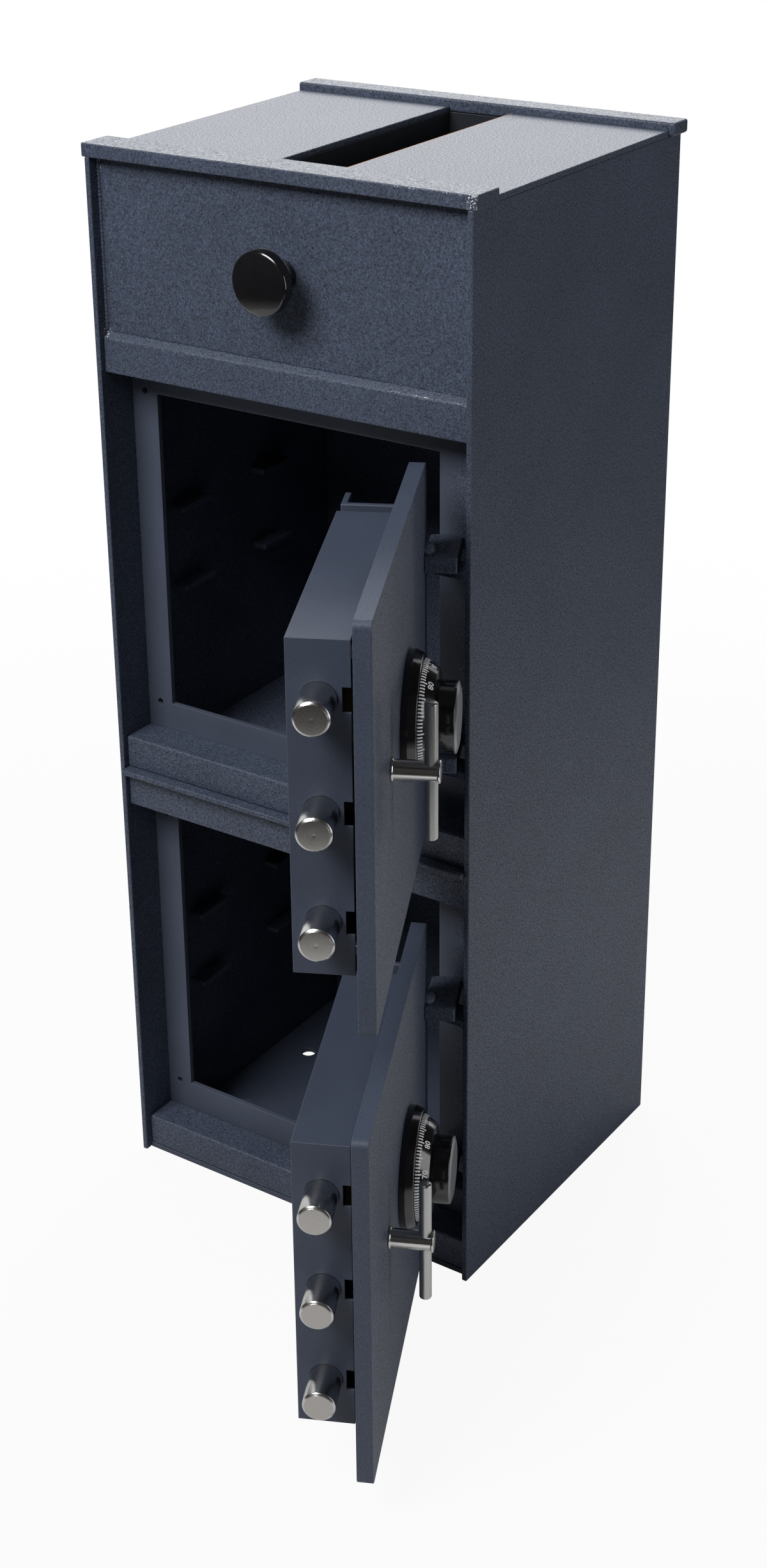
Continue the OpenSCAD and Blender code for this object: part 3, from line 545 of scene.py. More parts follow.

# %% [markdown]
# Most CAD parts get the finish that they have on a real safe. Coated steel is the
# rule. The frames behind the doors, the shelves and the bolt boxes were painted
# smooth, the chute is painted nearly black inside as painted shade, the works are
# zinc plated, and bushes and lock parts are brass. A door's parts are named with
# the door first, so one row of the table serves both doors.

# %% Finish of each CAD part
FINISHED = (
    (frame_paint, ("door_frame",)),
    (satin_paint, ("floor_plate", "ceiling_plate", "shelf_tabs", "bolt_box", "dead_bar")),
    (chute_shade_paint, ("hopper_left", "hopper_right", "hopper_front", "hopper_rear", "deposit_trough")),
    (zinc_plate, ("box_posts", "lock_bolt", "bolt_carrier", "crank", "dial_spindle", "deposit_shaft")),
    (brass, ("shaft_bushes", "lock_case", "combination_wheels")),
    (worn_coat, ("front_top_bar", "rear_lip_bar", "head_panel", "upper_lintel")),
    (worn_coat, ("side_wall_left", "side_wall_right", "top_plate_left", "top_plate_right")),
)
finish_of = {part: material for material, parts in FINISHED for part in parts}


def for_part(table, name):
    """Entry of a table for a part, which may leave the door's name out of the part's."""
    return table.get(name) or table.get(name.split("_", 1)[1])


finish = {}
for name, node in nodes.items():
    finish[name] = for_part(finish_of, name) or powder_coat
    node.data.materials.clear()
    node.data.materials.append(finish[name])
print("finished", len(finish), "CAD parts")

# %% [markdown]
# Turned parts are made by carrying an outline of radius and height once round an
# axis. The outline's sharp corners are first rounded, because a real lathe tool
# leaves a small radius and that radius is what catches the light.

# %% Turned surfaces
ARC_STEPS, SIDE_CUT = 4, 0.45
MERGE_WITHIN, NO_LENGTH = 2e-6, 1e-7
SMOOTH_BELOW = math.radians(40)


def rounded_outline(points, radius):
    """Outline whose inner corners are parabolas, (1-t)^2 start + 2t(1-t) corner + t^2 end, that begin
    and end where an arc of the radius would, or nearer on short sides."""
    points = np.array(points, float)
    t = np.linspace(0, 1, ARC_STEPS + 1)[:, None]
    out = [points[0]]
    for before, corner, after in zip(points[:-2], points[1:-1], points[2:]):
        to_before, to_after = before - corner, after - corner
        len_before, len_after = np.linalg.norm(to_before), np.linalg.norm(to_after)
        cosine = np.clip(to_before @ to_after / (len_before * len_after), -1, 1)
        half = math.acos(cosine) / 2
        cut = min(radius / max(math.tan(half), 1e-6), SIDE_CUT * len_before, SIDE_CUT * len_after)
        start, end = corner + to_before / len_before * cut, corner + to_after / len_after * cut
        out += list((1 - t) ** 2 * start + 2 * t * (1 - t) * corner + t**2 * end)
    out.append(points[-1])
    return np.array(out)


def tidy_mesh(mesh):
    """Merges doubled points, turns the faces outwards and shades smooth below an angle."""
    work = bmesh.new()
    work.from_mesh(mesh)
    bmesh.ops.remove_doubles(work, verts=work.verts, dist=MERGE_WITHIN)
    bmesh.ops.dissolve_degenerate(work, edges=work.edges, dist=NO_LENGTH)
    bmesh.ops.recalc_face_normals(work, faces=work.faces)
    work.to_mesh(mesh)
    work.free()
    mesh.shade_smooth()
    mesh.set_sharp_from_angle(angle=SMOOTH_BELOW)


def mesh_of(name, points, faces):
    """A mesh of points in metres."""
    mesh = bpy.data.meshes.new(name)
    mesh.from_pydata(np.asarray(points).tolist(), [], faces)
    return mesh


def skin_mesh(name, grid):
    """Mesh over an (n, m, 3) grid of points in metres, closed in its second direction."""
    rows, columns = grid.shape[:2]
    near = np.arange(rows * columns).reshape(rows, columns)
    far = np.roll(near, -1, axis=1)
    quads = np.stack([near[:-1], far[:-1], far[1:], near[1:]], axis=-1).reshape(-1, 4)
    mesh = mesh_of(name, grid.reshape(-1, 3), quads.tolist())
    tidy_mesh(mesh)
    return mesh


def placed(points, place):
    """Points in a place's own millimetres, as points in the scene's metres."""
    return np.asarray(points) * MM @ np.array(place.to_3x3()).T + np.array(place.translation)


def turned_grid(outline, place, count=64, flutes=0, depth=0.0, fluted=None):
    """Points of an outline of (radius, height) in mm turned about +Z of place. Where fluted, a height
    test, holds, the radius falls by depth times half of one minus the cosine of flutes times the angle."""
    angle = np.linspace(0, 2 * np.pi, count, endpoint=False)
    radius, height = (np.repeat(outline[:, k : k + 1], count, axis=1) for k in (0, 1))
    if flutes:
        wave = depth * (1 - np.cos(flutes * angle)) / 2
        radius = radius - np.where(fluted(height), wave[None, :], 0.0)
    return placed(np.stack([radius * np.cos(angle), radius * np.sin(angle), height], axis=-1), place)


# %% [markdown]
# A piece is a mesh with a finish that rides on one moving body of the safe. Where
# it takes the place of a CAD part, that part is hidden.

# %% Making pieces


def join_meshes(name, meshes):
    """One mesh that holds the faces of several, with their smooth and sharp edges."""
    work = bmesh.new()
    for mesh in meshes:
        work.from_mesh(mesh)
        bpy.data.meshes.remove(mesh)
    joined = bpy.data.meshes.new(name)
    work.to_mesh(joined)
    work.free()
    return joined


def join_grids(name, grids):
    """One mesh of several grids, each a closed surface of its own."""
    return join_meshes(name, [skin_mesh(name, grid) for grid in grids])


def new_piece(name, mesh, body, material, replaced=()):
    """An object that rides on a body, with its finish and the CAD parts that it replaces."""
    piece = linked(name, mesh)
    mesh.materials.append(material)
    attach(piece, body)
    if replaced:
        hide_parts(*replaced)
    return piece


def turned_piece(name, outline, place, body, material, slot_name, replaced, corner, **ways):
    """A turned part with its corners rounded to a radius in mm."""
    grid = turned_grid(rounded_outline(outline, corner), place, **ways)
    return new_piece(name, join_grids(name, [grid]), body, material, replaced)


# %% [markdown]
# Each door has its own axes: across the plate, into the safe, and up. The packed
# joints give them at the photographed opening, because the bolts slide across
# the plate and the handle turns about the line into it. Door parts can then be
# drawn as if the door were shut in front of us.

# %% Axes of the doors
HANDLE_AT = (-222.0, 160.9)
DIAL_AT = (-126.5, 157.5)


def door_axes(door):
    """Matrix of a door's frame at its hinge corner: across, inward and up."""
    across = Vector(joints[f"{door}_bolt_travel"]["axis"]).normalized()
    up = Vector((0, 0, 1))
    stem = Vector(joints[f"{door}_handle_turn"]["pos_m"])
    corner = stem - across * HANDLE_AT[0] * MM - up * HANDLE_AT[1] * MM
    return Matrix.Translation(corner) @ Matrix((across, up.cross(across), up)).transposed().to_4x4()


SPIN = {
    "out": Matrix(((1, 0, 0), (0, 0, -1), (0, 1, 0))),
    "strike": Matrix(((0, 0, -1), (0, 1, 0), (1, 0, 0))),
    "up": Matrix.Identity(3),
}


def on_door(door, x, y, z, towards="out"):
    """Place on a door for a turned part: its +Z points out of the door, to the strike side, or up."""
    return door_axes(door) @ Matrix.Translation(Vector((x, y, z)) * MM) @ SPIN[towards].to_4x4()


inward = {door: door_axes(door).col[1].to_3d() for door in DOORS}
print("door normals", {door: [round(-c, 2) for c in inward[door]] for door in DOORS})

# %% [markdown]
# The flat plates keep their CAD shape, but a copy of each gets truly rounded
# edges, wide on the heavy top bars and small on sheet. The copy's loose triangles
# are merged and flat neighbours joined first, so that the Bevel modifier finds
# only the real edges, and a Weighted Normal modifier keeps the large faces flat
# between their rounded edges. A door plate's sides were painted smooth, so its
# faces that look sideways are marked for the coat.

# %% Plates with rounded edges
SOFT_EDGES = {
    2.2: ("mid_sill", "bottom_sill", "rear_lip_bar"),
    1.5: ("lower_lintel", "hinge_arms", "door_plate", "upper_lintel"),
    1.1: (
        "front_top_bar", "side_wall_left", "side_wall_right", "divider_plate",
        "shelf_tabs", "hinge_lugs", "dead_bar",
    ),
    0.8: ("back_panel", "top_plate_left", "top_plate_right", "door_frame", "bolt_box"),
    0.5: ("head_panel", "floor_plate", "ceiling_plate", "hinge_pins"),
}
width_of = {part: width for width, parts in SOFT_EDGES.items() for part in parts}
FLAT_BELOW, EDGE_ABOVE = math.radians(0.3), math.radians(25)
BEVEL_STEPS, SIDEWAYS_BELOW, CAD_MERGE = 3, 0.5, 1e-6


def softened(name, width):
    """A copy of a CAD part, its flat faces joined, with a Bevel modifier of a width in mm."""
    work = bmesh.new()
    work.from_mesh(nodes[name].data)
    bmesh.ops.remove_doubles(work, verts=work.verts, dist=CAD_MERGE)
    bmesh.ops.dissolve_limit(work, angle_limit=FLAT_BELOW, verts=work.verts, edges=work.edges)
    mesh = bpy.data.meshes.new(name + "_soft")
    work.to_mesh(mesh)
    work.free()
    mesh.shade_smooth()
    if name.endswith("door_plate"):
        facing = inward[name.split("_")[0]]
        sideways = [abs(face.normal.dot(facing)) < SIDEWAYS_BELOW for face in mesh.polygons]
        mesh.attributes.new(SIDE_ATTRIBUTE, "FLOAT", "FACE").data.foreach_set("value", sideways)
    piece = new_piece(name + "_soft", mesh, nodes[name]["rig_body"], finish[name], (name,))
    bevel = piece.modifiers.new("rounded edges", "BEVEL")
    bevel.width, bevel.segments = width * MM, BEVEL_STEPS
    bevel.limit_method, bevel.angle_limit = "ANGLE", EDGE_ABOVE
    flat = piece.modifiers.new("flat faces", "WEIGHTED_NORMAL")
    flat.mode, flat.weight = "FACE_AREA", 100


plates = [name for name in nodes if for_part(width_of, name)]
for name in plates:
    softened(name, for_part(width_of, name))
print("rounded", len(plates), "plates")

# %% [markdown]
# The casing is welded, and the coat doesn't hide the weld. A bead is a thin tube
# whose radius swells and shrinks: once every few millimetres where each drop of
# weld froze, and slowly where the welder's pace changed. Half of it lies buried
# in the corner that it fills, where the head panel meets the side walls. Where
# the hinge arms meet the door, only a lump of weld stands on each.

# %% Welds
BEAD_RADIUS, BEAD_SIDES, BEAD_STEP = 1.6, 12, 0.7
RIPPLE, RIPPLE_SHARE = 3.2, 0.12
SLOW_WAVES, LUMP_SWELL = (7.1, 17.3), 0.10
ARM_TOPS = (70.8, 238.1)
LUMP_AT, LUMP_HALF = (-9.0, -2.0, 2.5), (8.5, 6.0, 5.0)


def bead_grid(start, end):
    """Tube between two points, in mm. Its radius is BEAD_RADIUS times 1 plus a sine every ripple and
    the product of two slow sines, and goes to 0 as a quarter circle at both ends."""
    start, end = np.array(start, float), np.array(end, float)
    length = np.linalg.norm(end - start)
    s = np.linspace(0, length, int(length / BEAD_STEP) + 2)
    slow = np.sin(s / SLOW_WAVES[0]) * np.sin(s / SLOW_WAVES[1] + 1.0)
    wave = 1 + RIPPLE_SHARE * np.sin(2 * np.pi * s / RIPPLE) + RIPPLE_SHARE * slow
    to_end = np.clip(np.minimum(s, length - s) / (2 * BEAD_RADIUS), 0, 1)
    girth = BEAD_RADIUS * wave * np.sqrt(1 - (1 - to_end) ** 2)
    along = (end - start) / length
    side = np.cross(along, (0.3, 0.5, 0.8))
    side /= np.linalg.norm(side)
    angle = np.linspace(0, 2 * np.pi, BEAD_SIDES, endpoint=False)[:, None]
    circle = np.cos(angle) * side + np.sin(angle) * np.cross(along, side)
    return (start + s[:, None, None] * along + girth[:, None, None] * circle) * MM


def lump_grid(centre, place, rows=18, count=28):
    """Ellipsoid with LUMP_HALF as its half-axes, pushed in and out by the product of three sines."""
    polar, around_axis = np.linspace(0, np.pi, rows)[:, None], np.linspace(0, 2 * np.pi, count, False)
    x, y = np.sin(polar) * np.cos(around_axis), np.sin(polar) * np.sin(around_axis)
    z = np.cos(polar) + 0 * x
    swell = 1 + LUMP_SWELL * np.sin(4 * x + 1) * np.sin(5 * y + 2) * np.sin(3 * z + 1)
    points = np.stack([x, y, z], axis=-1) * swell[..., None] * np.array(LUMP_HALF) + centre
    return placed(points, place)


low, high = head_low / MM, head_high / MM
beads = [bead_grid((x, low.y, low.z), (x, low.y, high.z)) for x in (low.x, high.x)]
casing = nodes["head_panel"]["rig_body"]
# The beads and lumps wear the paler weld coat, a painted highlight.
new_piece("weld_beads", join_grids("weld_beads", beads), casing, weld_highlight_coat)
for door in DOORS:
    name = f"{door}_arm_welds"
    spots = [np.array(LUMP_AT) + (0, 0, top) for top in ARM_TOPS]
    mesh = join_grids(name, [lump_grid(spot, door_axes(door)) for spot in spots])
    new_piece(name, mesh, f"{door}_door", weld_highlight_coat)
print("welded", len(beads), "seams and", 2 * len(ARM_TOPS), "arms")

# %% [markdown]
# The bolts are one-inch chromed bars. Each end was faced on a lathe, which left
# fine rings, a faint dimple from the centre drill, and a broken edge. The side is
# smoother, but not a mirror. The face and the side are two pieces, because they
# have two finishes.

# %% Bolts
BOLT_R, BOLT_EDGE = 12.7, 1.5
BOLT_TIP, BOLT_BACK = -312.0, -271.5
BOLT_Y, BOLT_Z = 40.0, (71.0, 154.5, 238.0)


def points_of(mesh):
    """The points of a mesh, a row for each."""
    points = np.empty(len(mesh.vertices) * 3)
    mesh.vertices.foreach_get("co", points)
    return points.reshape(-1, 3)


def mark_radius(mesh, place, centres):
    """Stores each point's distance in metres from the nearest of several parallel axes."""
    along = np.array(place.to_3x3().col[2])
    arms = [points_of(mesh) - np.array(centre) for centre in centres]
    gaps = [np.linalg.norm(arm - np.outer(arm @ along, along), axis=1) for arm in arms]
    attribute = mesh.attributes.new(RADIUS_ATTRIBUTE, "FLOAT", "POINT")
    attribute.data.foreach_set("value", np.min(gaps, axis=0))


bolt_long = BOLT_BACK - BOLT_TIP
face_r = BOLT_R - BOLT_EDGE
side = rounded_outline([
    (0, 0), (BOLT_R, 0), (BOLT_R, bolt_long - BOLT_EDGE), (face_r, bolt_long - 0.15),
    (face_r - 0.4, bolt_long - 0.3), (0, bolt_long - 0.3),
], 0.5)
face = rounded_outline([
    (face_r - 0.1, bolt_long - 0.25), (face_r - 0.3, bolt_long), (1.6, bolt_long),
    (0.5, bolt_long - 0.06), (0, bolt_long - 0.06),
], 0.2)
for door in DOORS:
    places = [on_door(door, BOLT_BACK, BOLT_Y, z, "strike") for z in BOLT_Z]
    slide, cad_bolts = f"{door}_bolt_slide", (f"{door}_bolts",)
    sides = join_grids("bolt_sides", [turned_grid(side, place) for place in places])
    new_piece(f"{door}_bolt_sides", sides, slide, bolt_chrome, cad_bolts)
    faces = join_grids("bolt_faces", [turned_grid(face, place) for place in places])
    mark_radius(faces, places[0], [place.translation for place in places])
    new_piece(f"{door}_bolt_faces", faces, slide, chrome_face)
print("bolts", bolt_long, "mm long")

# %% [markdown]
# The T handle is a chromed stem with a thin collar at the door and another at its
# end, and a satin bar pushed through it just behind the outer one. The spindle
# that goes through the door to the crank is part of the same outline.

# %% Handles
STEM_R, STEM_OUT = 7.5, 34.3
COLLAR_R, COLLAR_T = 8.5, 1.6
BAR_R, BAR_LONG, BAR_OUT = 4.75, 106.0, 27.6
SPINDLE_R, SPINDLE_IN = 6.0, 42.9
stem = [
    (0, -SPINDLE_IN), (SPINDLE_R, -SPINDLE_IN), (SPINDLE_R, 0.1), (COLLAR_R, 0.1), (COLLAR_R, COLLAR_T),
    (STEM_R, COLLAR_T + 0.1), (STEM_R, STEM_OUT - COLLAR_T - 0.1), (COLLAR_R, STEM_OUT - COLLAR_T),
    (COLLAR_R, STEM_OUT - 0.2), (COLLAR_R - 1.2, STEM_OUT + 0.1), (0, STEM_OUT + 0.5),
]
bar_end = [(0, 0), (BAR_R * 0.6, 0.4), (BAR_R, 1.6)]
bar = bar_end + [(radius, BAR_LONG - height) for radius, height in reversed(bar_end)]
for door in DOORS:
    body = f"{door}_handle"
    stem_at = on_door(door, HANDLE_AT[0], 0, HANDLE_AT[1])
    bar_at = on_door(door, HANDLE_AT[0], -BAR_OUT, HANDLE_AT[1] - BAR_LONG / 2, "up")
    turned_piece(f"{door}_stem", stem, stem_at, body, chrome, "bolt_chrome", (body + "_stem",), 0.5)
    turned_piece(f"{door}_bar", bar, bar_at, body, satin_steel, "handle_steel", (body + "_bar",), 1.2)
print("handles", BAR_LONG, "mm across")

# %% [markdown]
# A dial has three parts that turn together inside a fixed ring: a graduated
# skirt, a smooth round grip and a satin cap. The skirt has a short steep band and
# then a cone, and its divisions cross the corner between the two.

# %% Dials
RING_IN, RING_R, RING_HIGH = 42.3, 48.3, 11.5
SKIRT_R, SKIRT_FOOT = 41.8, 11.5
BAND_R, BAND_HIGH = 41.05, 13.9
CONE_R, CONE_HIGH = 34.95, 22.0
GRIP_R, GRIP_HIGH, GRIP_CAP = 26.75, 36.1, 22.2
RING_SIDES, GRIP_SIDES = 128, 96
ring = [
    (RING_IN, 0.05), (RING_R, 0.05), (RING_R, 5.2), (RING_R - 2.7, RING_HIGH - 0.5),
    (RING_IN + 1.3, RING_HIGH), (RING_IN, RING_HIGH - 0.9), (RING_IN, 0.05),
]
skirt = [
    (0, 0.5), (SKIRT_R, 0.5), (SKIRT_R, SKIRT_FOOT), (BAND_R, BAND_HIGH),
    (CONE_R, CONE_HIGH), (0, CONE_HIGH),
]
grip = [(0, CONE_HIGH - 0.5), (GRIP_R, CONE_HIGH - 0.5), (GRIP_R, GRIP_HIGH), (0, GRIP_HIGH)]
cap = [
    (0, GRIP_HIGH - 0.1), (GRIP_R - 0.35, GRIP_HIGH - 0.1), (GRIP_R - 0.35, GRIP_HIGH + 0.3),
    (GRIP_CAP, GRIP_HIGH + 1.5), (0, GRIP_HIGH + 1.5),
]
for door in DOORS:
    place = on_door(door, DIAL_AT[0], 0, DIAL_AT[1])
    body, black, grey = f"{door}_dial_set", (gloss_black, "dial_black"), (cap_steel, "handle_steel")
    still = (place, f"{door}_door", *black, (f"{door}_dial_ring",))
    turned_piece(f"{door}_ring", ring, *still, 0.6, count=RING_SIDES)
    turned_piece(f"{door}_skirt", skirt, place, body, *black, (f"{door}_dial",), 0.3, count=RING_SIDES)
    turned_piece(f"{door}_grip", grip, place, body, *black, (), 0.8, count=GRIP_SIDES)
    satin = turned_piece(f"{door}_cap", cap, place, body, *grey, (), 0.3, count=GRIP_SIDES)
    mark_radius(satin.data, place, [place.translation])
print("dials", 2 * RING_R, "mm wide")

# %% [markdown]
# The skirt carries a hundred white divisions, a longer one at each five and ten,
# and the tens written round it. A division is two small patches that bend over
# the skirt's corner, lifted a few hundredths of a millimetre off it. Figures are
# drawn with the built-in font, turned into a mesh, and then each of their points
# is bent onto the cone.

# %% Divisions and figures
LIFT, DIVISIONS = 0.06, 100
TICK_HALF, TICK_FOOT, TICK_TOPS = 0.0150, 11.8, (15.3, 16.3, 16.5)
FIGURE_MIDDLE, FIGURE_TALL, FIGURE_BOLD, FIGURE_STEPS = 19.1, 4.9, 0.022, 3
ZERO_AT = {"upper": 48.0, "lower": 44.3}


def on_skirt(angle, height, place):
    """Points on the skirt, whose radius runs straight from foot to band and from band to cone top."""
    outline_r, outline_h = (SKIRT_R, BAND_R, CONE_R), (SKIRT_FOOT, BAND_HIGH, CONE_HIGH)
    radius = np.interp(height, outline_h, outline_r) + LIFT
    return placed(np.stack([radius * np.cos(angle), radius * np.sin(angle), height], axis=-1), place)


def tick_mesh(place):
    """A hundred strips of six points at even angles: foot, corner and top, each with a left and right."""
    number = np.arange(DIVISIONS)
    angle = number[:, None] * 2 * np.pi / DIVISIONS + TICK_HALF * np.array([-1, 1] * 3)
    tops = np.select([number % 10 == 0, number % 5 == 0], TICK_TOPS[:0:-1], TICK_TOPS[0])
    height = np.stack([0 * tops + TICK_FOOT, 0 * tops + BAND_HIGH, tops], axis=1)
    points = on_skirt(angle, np.repeat(height, 2, axis=1), place).reshape(-1, 3)
    first = number[:, None] * 6
    quads = np.concatenate([first + [0, 1, 3, 2], first + [2, 3, 5, 4]])
    return mesh_of("ticks", points, quads.tolist())


def figure_points(text):
    """Points and faces of a number in the built-in font, centred, with figures of a fixed height."""
    curve = bpy.data.curves.new("figure", "FONT")
    curve.body, curve.align_x, curve.align_y = text, "CENTER", "CENTER"
    curve.resolution_u, curve.offset = FIGURE_STEPS, FIGURE_BOLD
    carrier = linked("figure", curve)
    mesh = bpy.data.meshes.new_from_object(carrier.evaluated_get(bpy.context.evaluated_depsgraph_get()))
    bpy.data.objects.remove(carrier)
    points = points_of(mesh)
    faces = [tuple(polygon.vertices) for polygon in mesh.polygons]
    bpy.data.meshes.remove(mesh)
    return points[:, :2] * FIGURE_TALL / np.ptp(points[:, 1]), faces


def figure_mesh(place):
    """The tens round the cone, clockwise, each bent onto it with its top outwards."""
    slope = (CONE_HIGH - BAND_HIGH) / math.hypot(CONE_HIGH - BAND_HIGH, BAND_R - CONE_R)
    radius = np.interp(FIGURE_MIDDLE, (BAND_HIGH, CONE_HIGH), (BAND_R, CONE_R))
    meshes = []
    for ten in range(10):
        flat, faces = figure_points(str(ten * 10))
        angle = -ten * 2 * np.pi / 10 - flat[:, 0] / radius
        points = on_skirt(angle, FIGURE_MIDDLE - flat[:, 1] * slope, place)
        meshes.append(mesh_of("figures", points, faces))
    return join_meshes("figures", meshes)


for door in DOORS:
    place = on_door(door, DIAL_AT[0], 0, DIAL_AT[1]) @ Matrix.Rotation(math.radians(ZERO_AT[door]), 4, "Z")
    new_piece(f"{door}_divisions", tick_mesh(place), f"{door}_dial_set", white_enamel)
    new_piece(f"{door}_figures", figure_mesh(place), f"{door}_dial_set", white_enamel)
print(DIVISIONS, "divisions on each dial")

# %% [markdown]
# The deposit knob is a black moulding: a shallow dome in front, a rim with fine
# flutes for the fingers, and a neck that hides the shaft. Its dome is an arc of a
# large circle, worked out from its rise over the rim.

# %% Deposit knob
KNOB_R, KNOB_RIM, KNOB_DOME, KNOB_OUT = 25.0, 10.0, 4.0, 30.7
NECK_R, NECK_LONG = 13.0, 17.5
KNOB_FLUTES, FLUTE_DEEP = 110, 0.6
axis = joints["deposit_knob_turn"]["pos_m"]
knob_front, head_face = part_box("deposit_knob")[0].y, head_low.y
dome_r = (KNOB_R**2 + KNOB_DOME**2) / (2 * KNOB_DOME)
lean = np.linspace(math.asin((KNOB_R - 1.6) / dome_r), 0, 14)
dome = [(dome_r * math.sin(a), KNOB_OUT + KNOB_DOME - dome_r * (1 - math.cos(a))) for a in lean]
rim_back = KNOB_OUT - KNOB_RIM
knob = [
    (0, 0.5), (NECK_R, 0.5), (NECK_R, NECK_LONG), (KNOB_R - 2.2, rim_back - 0.6), (KNOB_R, rim_back + 0.8),
    (KNOB_R, KNOB_OUT - 1.2), (KNOB_R - 0.5, KNOB_OUT - 0.1), *dome,
]
knob_place = Matrix.Translation((axis[0], head_face, axis[2])) @ SPIN["out"].to_4x4()
turned_piece(
    "knob", knob, knob_place, "deposit", gloss_black, "knob_black", ("deposit_knob",), 0.7,
    count=KNOB_FLUTES * 6, flutes=KNOB_FLUTES, depth=FLUTE_DEEP,
    fluted=lambda height: (height > rim_back + 0.9) & (height < KNOB_OUT - 1.3),
)
print("knob reaches", round((head_face - knob_front) / MM, 1), "mm in front of the head panel")

# %% [markdown]
# The safe stands on a pale round floor. The camera sees it as white through Light
# Path, yet it keeps the object's shadow. Mirrors see a painted shadow on it, darker
# the nearer it lies to the safe. It fades out round the safe, so that low mirrors
# see the dark room behind it.

# %% Studio floor
WHITE = (1.0, 1.0, 1.0, 1.0)
FLOOR_RADIUS, FLOOR_SIDES, FLOOR_LEVEL = 2.2, 96, -0.0005
# The first span and the low white share for mirrors paint a shadow on the floor near the safe, seen only in
# mirrors.
MIRROR_SHADOW_NEAR, FADE = (0.22, 0.50), (0.75, 1.85)
FLOOR_GREY = (0.50, 0.50, 0.50, 1.0)
SEEN_WHITE, MIRRORED_WHITE = 0.93, (0.05, 0.40)


def seen_and_mirrored(tree):
    """Masks of the rays from the camera, and of those from mirrors or through glass."""
    path = add(tree, "ShaderNodeLightPath")
    mirrored = calc(tree, "MAXIMUM", path.outputs["Is Glossy Ray"], path.outputs["Is Transmission Ray"])
    return path.outputs["Is Camera Ray"], mirrored


def stage_piece(name, points, faces, material):
    """A mesh that belongs to the studio."""
    piece = linked(name, mesh_of(name, points, faces))
    piece.data.materials.append(material)
    piece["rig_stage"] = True
    return piece


floor_finish = bpy.data.materials.new("studio_floor")
tree = emptied(floor_finish)
distance = add(tree, "ShaderNodeVectorMath", at={"operation": "LENGTH"}, _0=object_place(tree))
away = distance.outputs["Value"]
seen, mirrored = seen_and_mirrored(tree)
# Near the safe, mirrors see less of the white: a painted shadow round its foot.
mirrored = calc(tree, "MULTIPLY", mirrored, ramp(tree, away, *MIRROR_SHADOW_NEAR, *MIRRORED_WHITE))
share = calc(tree, "MAXIMUM", calc(tree, "MULTIPLY", seen, SEEN_WHITE), mirrored)
lit = add(tree, "ShaderNodeBsdfDiffuse", Color=FLOOR_GREY)
white = add(tree, "ShaderNodeEmission", Color=WHITE, Strength=1.0)
both = add(tree, "ShaderNodeMixShader", Fac=share, _1=lit.outputs[0], _2=white.outputs[0])
fade = ramp(tree, away, *FADE, kind="SMOOTHSTEP")
clear = add(tree, "ShaderNodeBsdfTransparent")
faded = add(tree, "ShaderNodeMixShader", Fac=fade, _1=both.outputs[0], _2=clear.outputs[0])
add(tree, "ShaderNodeOutputMaterial", Surface=faded.outputs[0])
angle = np.linspace(0, 2 * np.pi, FLOOR_SIDES, endpoint=False)
rim = np.stack([np.cos(angle), np.sin(angle)], axis=1) * FLOOR_RADIUS
stage_piece("floor", np.insert(rim, 2, FLOOR_LEVEL, axis=1), [tuple(range(FLOOR_SIDES))], floor_finish)
print("floor", 2 * FLOOR_RADIUS, "m wide")

# %% [markdown]
# A photographer's room is dark on the camera's side, and glossy things show that
# dark. Its wall is an arc round that side, from one azimuth to another, which the
# camera doesn't see. Its ceiling is there for mirrors only.

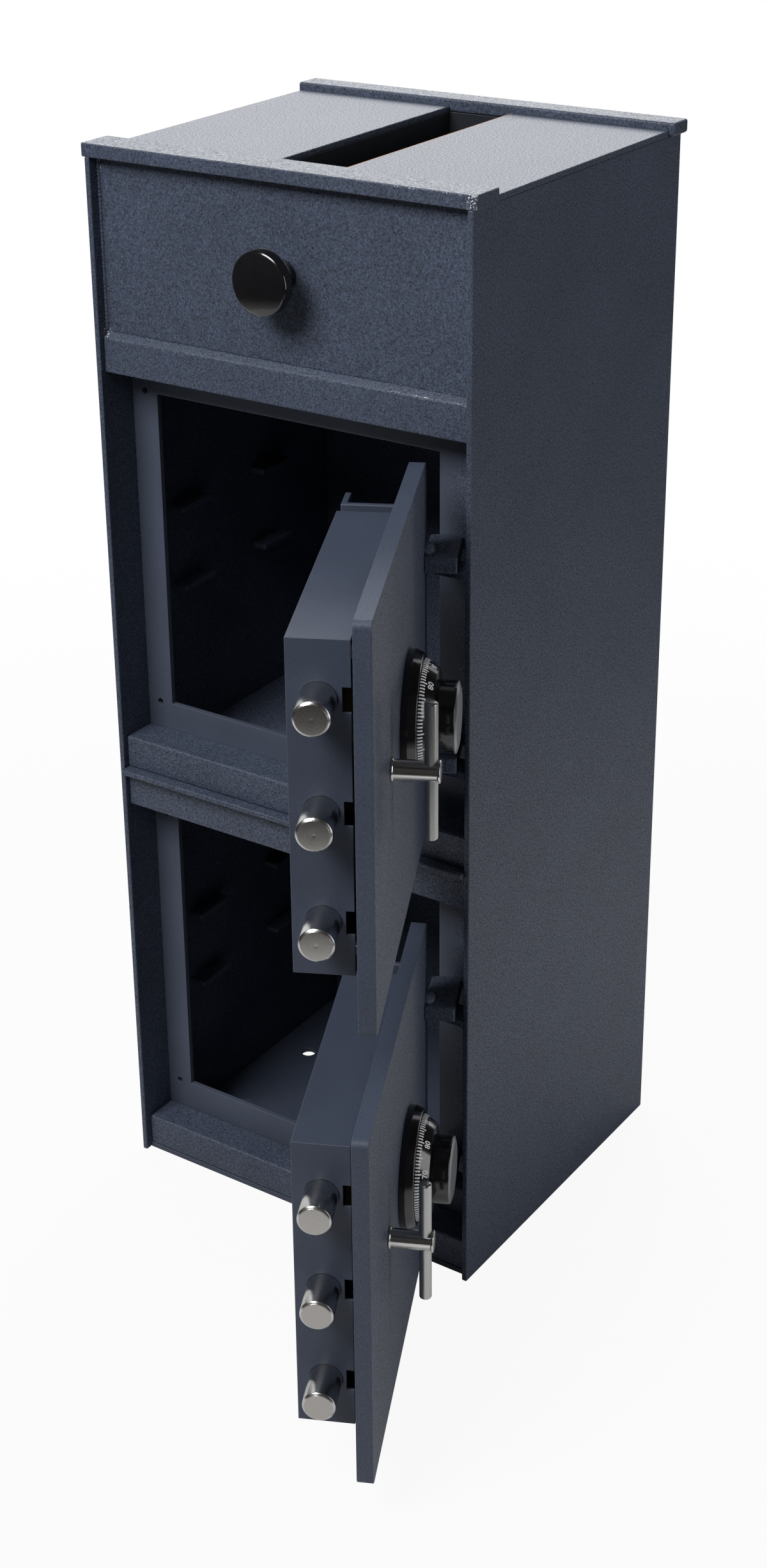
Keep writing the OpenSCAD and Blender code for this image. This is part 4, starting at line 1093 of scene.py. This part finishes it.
# %% Dark room
ROOM_RADIUS, ROOM_FOOT, ROOM_TOP = 2.9, -1.2, 3.1
ROOM_FROM, ROOM_TO, ROOM_STEPS = -105.0, 172.0, 48
ROOM_DARK, ROOM_ROUGH = (0.030, 0.028, 0.027, 1.0), 0.9
room_finish, tree, shader = new_material("dark_room")
fill(tree, shader, Base_Color=ROOM_DARK, Roughness=ROOM_ROUGH)
azimuth = np.radians(np.linspace(ROOM_FROM, ROOM_TO, ROOM_STEPS))
arc = np.stack([ROOM_RADIUS * np.sin(azimuth), -ROOM_RADIUS * np.cos(azimuth)], axis=1)
foot, top = (np.insert(arc, 2, height, axis=1) for height in (ROOM_FOOT, ROOM_TOP))
sides = [(i, i + 1, i + ROOM_STEPS + 1, i + ROOM_STEPS) for i in range(ROOM_STEPS - 1)]
wall = stage_piece("room", np.concatenate([foot, top]), sides, room_finish)
ceiling = stage_piece("ceiling", top, [tuple(range(ROOM_STEPS))], room_finish)
wall.visible_camera = False
ceiling.visible_camera = ceiling.visible_diffuse = ceiling.visible_shadow = False
print("room wall over", ROOM_TO - ROOM_FROM, "degrees")

# %% [markdown]
# The surround is white to the camera and in mirrors, and a plain level of light
# elsewhere. A large panel above and behind the safe makes its top bright, one in
# front and above lights the front, and a weak one lifts the right. Each row gives
# a panel's place, the point that it faces, its size and its power.

# %% Surround and panels
SURROUND_LIGHT = 0.5
PANELS = {
    "back_panel": ((-1.1, 2.0, 2.4), (0.0, 0.0, 0.9), (2.4, 2.0), 74.0),
    "front_panel": ((-0.4, -2.1, 2.7), (0.0, 0.0, 0.6), (1.5, 1.2), 84.0),
    "right_panel": ((2.6, 0.4, 0.85), (0.0, 0.0, 0.35), (1.0, 1.8), 17.5),
}
scene.world = bpy.data.worlds.new("studio")
tree = emptied(scene.world)
soft = add(tree, "ShaderNodeBackground", Color=WHITE, Strength=SURROUND_LIGHT)
white = add(tree, "ShaderNodeBackground", Color=WHITE, Strength=1.0)
share = calc(tree, "MAXIMUM", *seen_and_mirrored(tree))
both = add(tree, "ShaderNodeMixShader", Fac=share, _1=soft.outputs[0], _2=white.outputs[0])
add(tree, "ShaderNodeOutputWorld", Surface=both.outputs[0])
for name, (place, aim, size, power) in PANELS.items():
    light = bpy.data.lights.new(name, "AREA")
    light.shape = "RECTANGLE"
    light.size, light.size_y = size
    light.energy = power
    lamp = linked(name, light)
    lamp.location = place
    lamp.rotation_euler = (Vector(aim) - Vector(place)).to_track_quat("-Z", "Y").to_euler()
    lamp.visible_camera = False
print(len(PANELS), "panels of light")

# %% [markdown]
# Last, the size of the dressed safe is printed.

# %% Finish the scene
low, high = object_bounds()
print("visual box", [round(b - a, 4) for a, b in zip(low, high)])
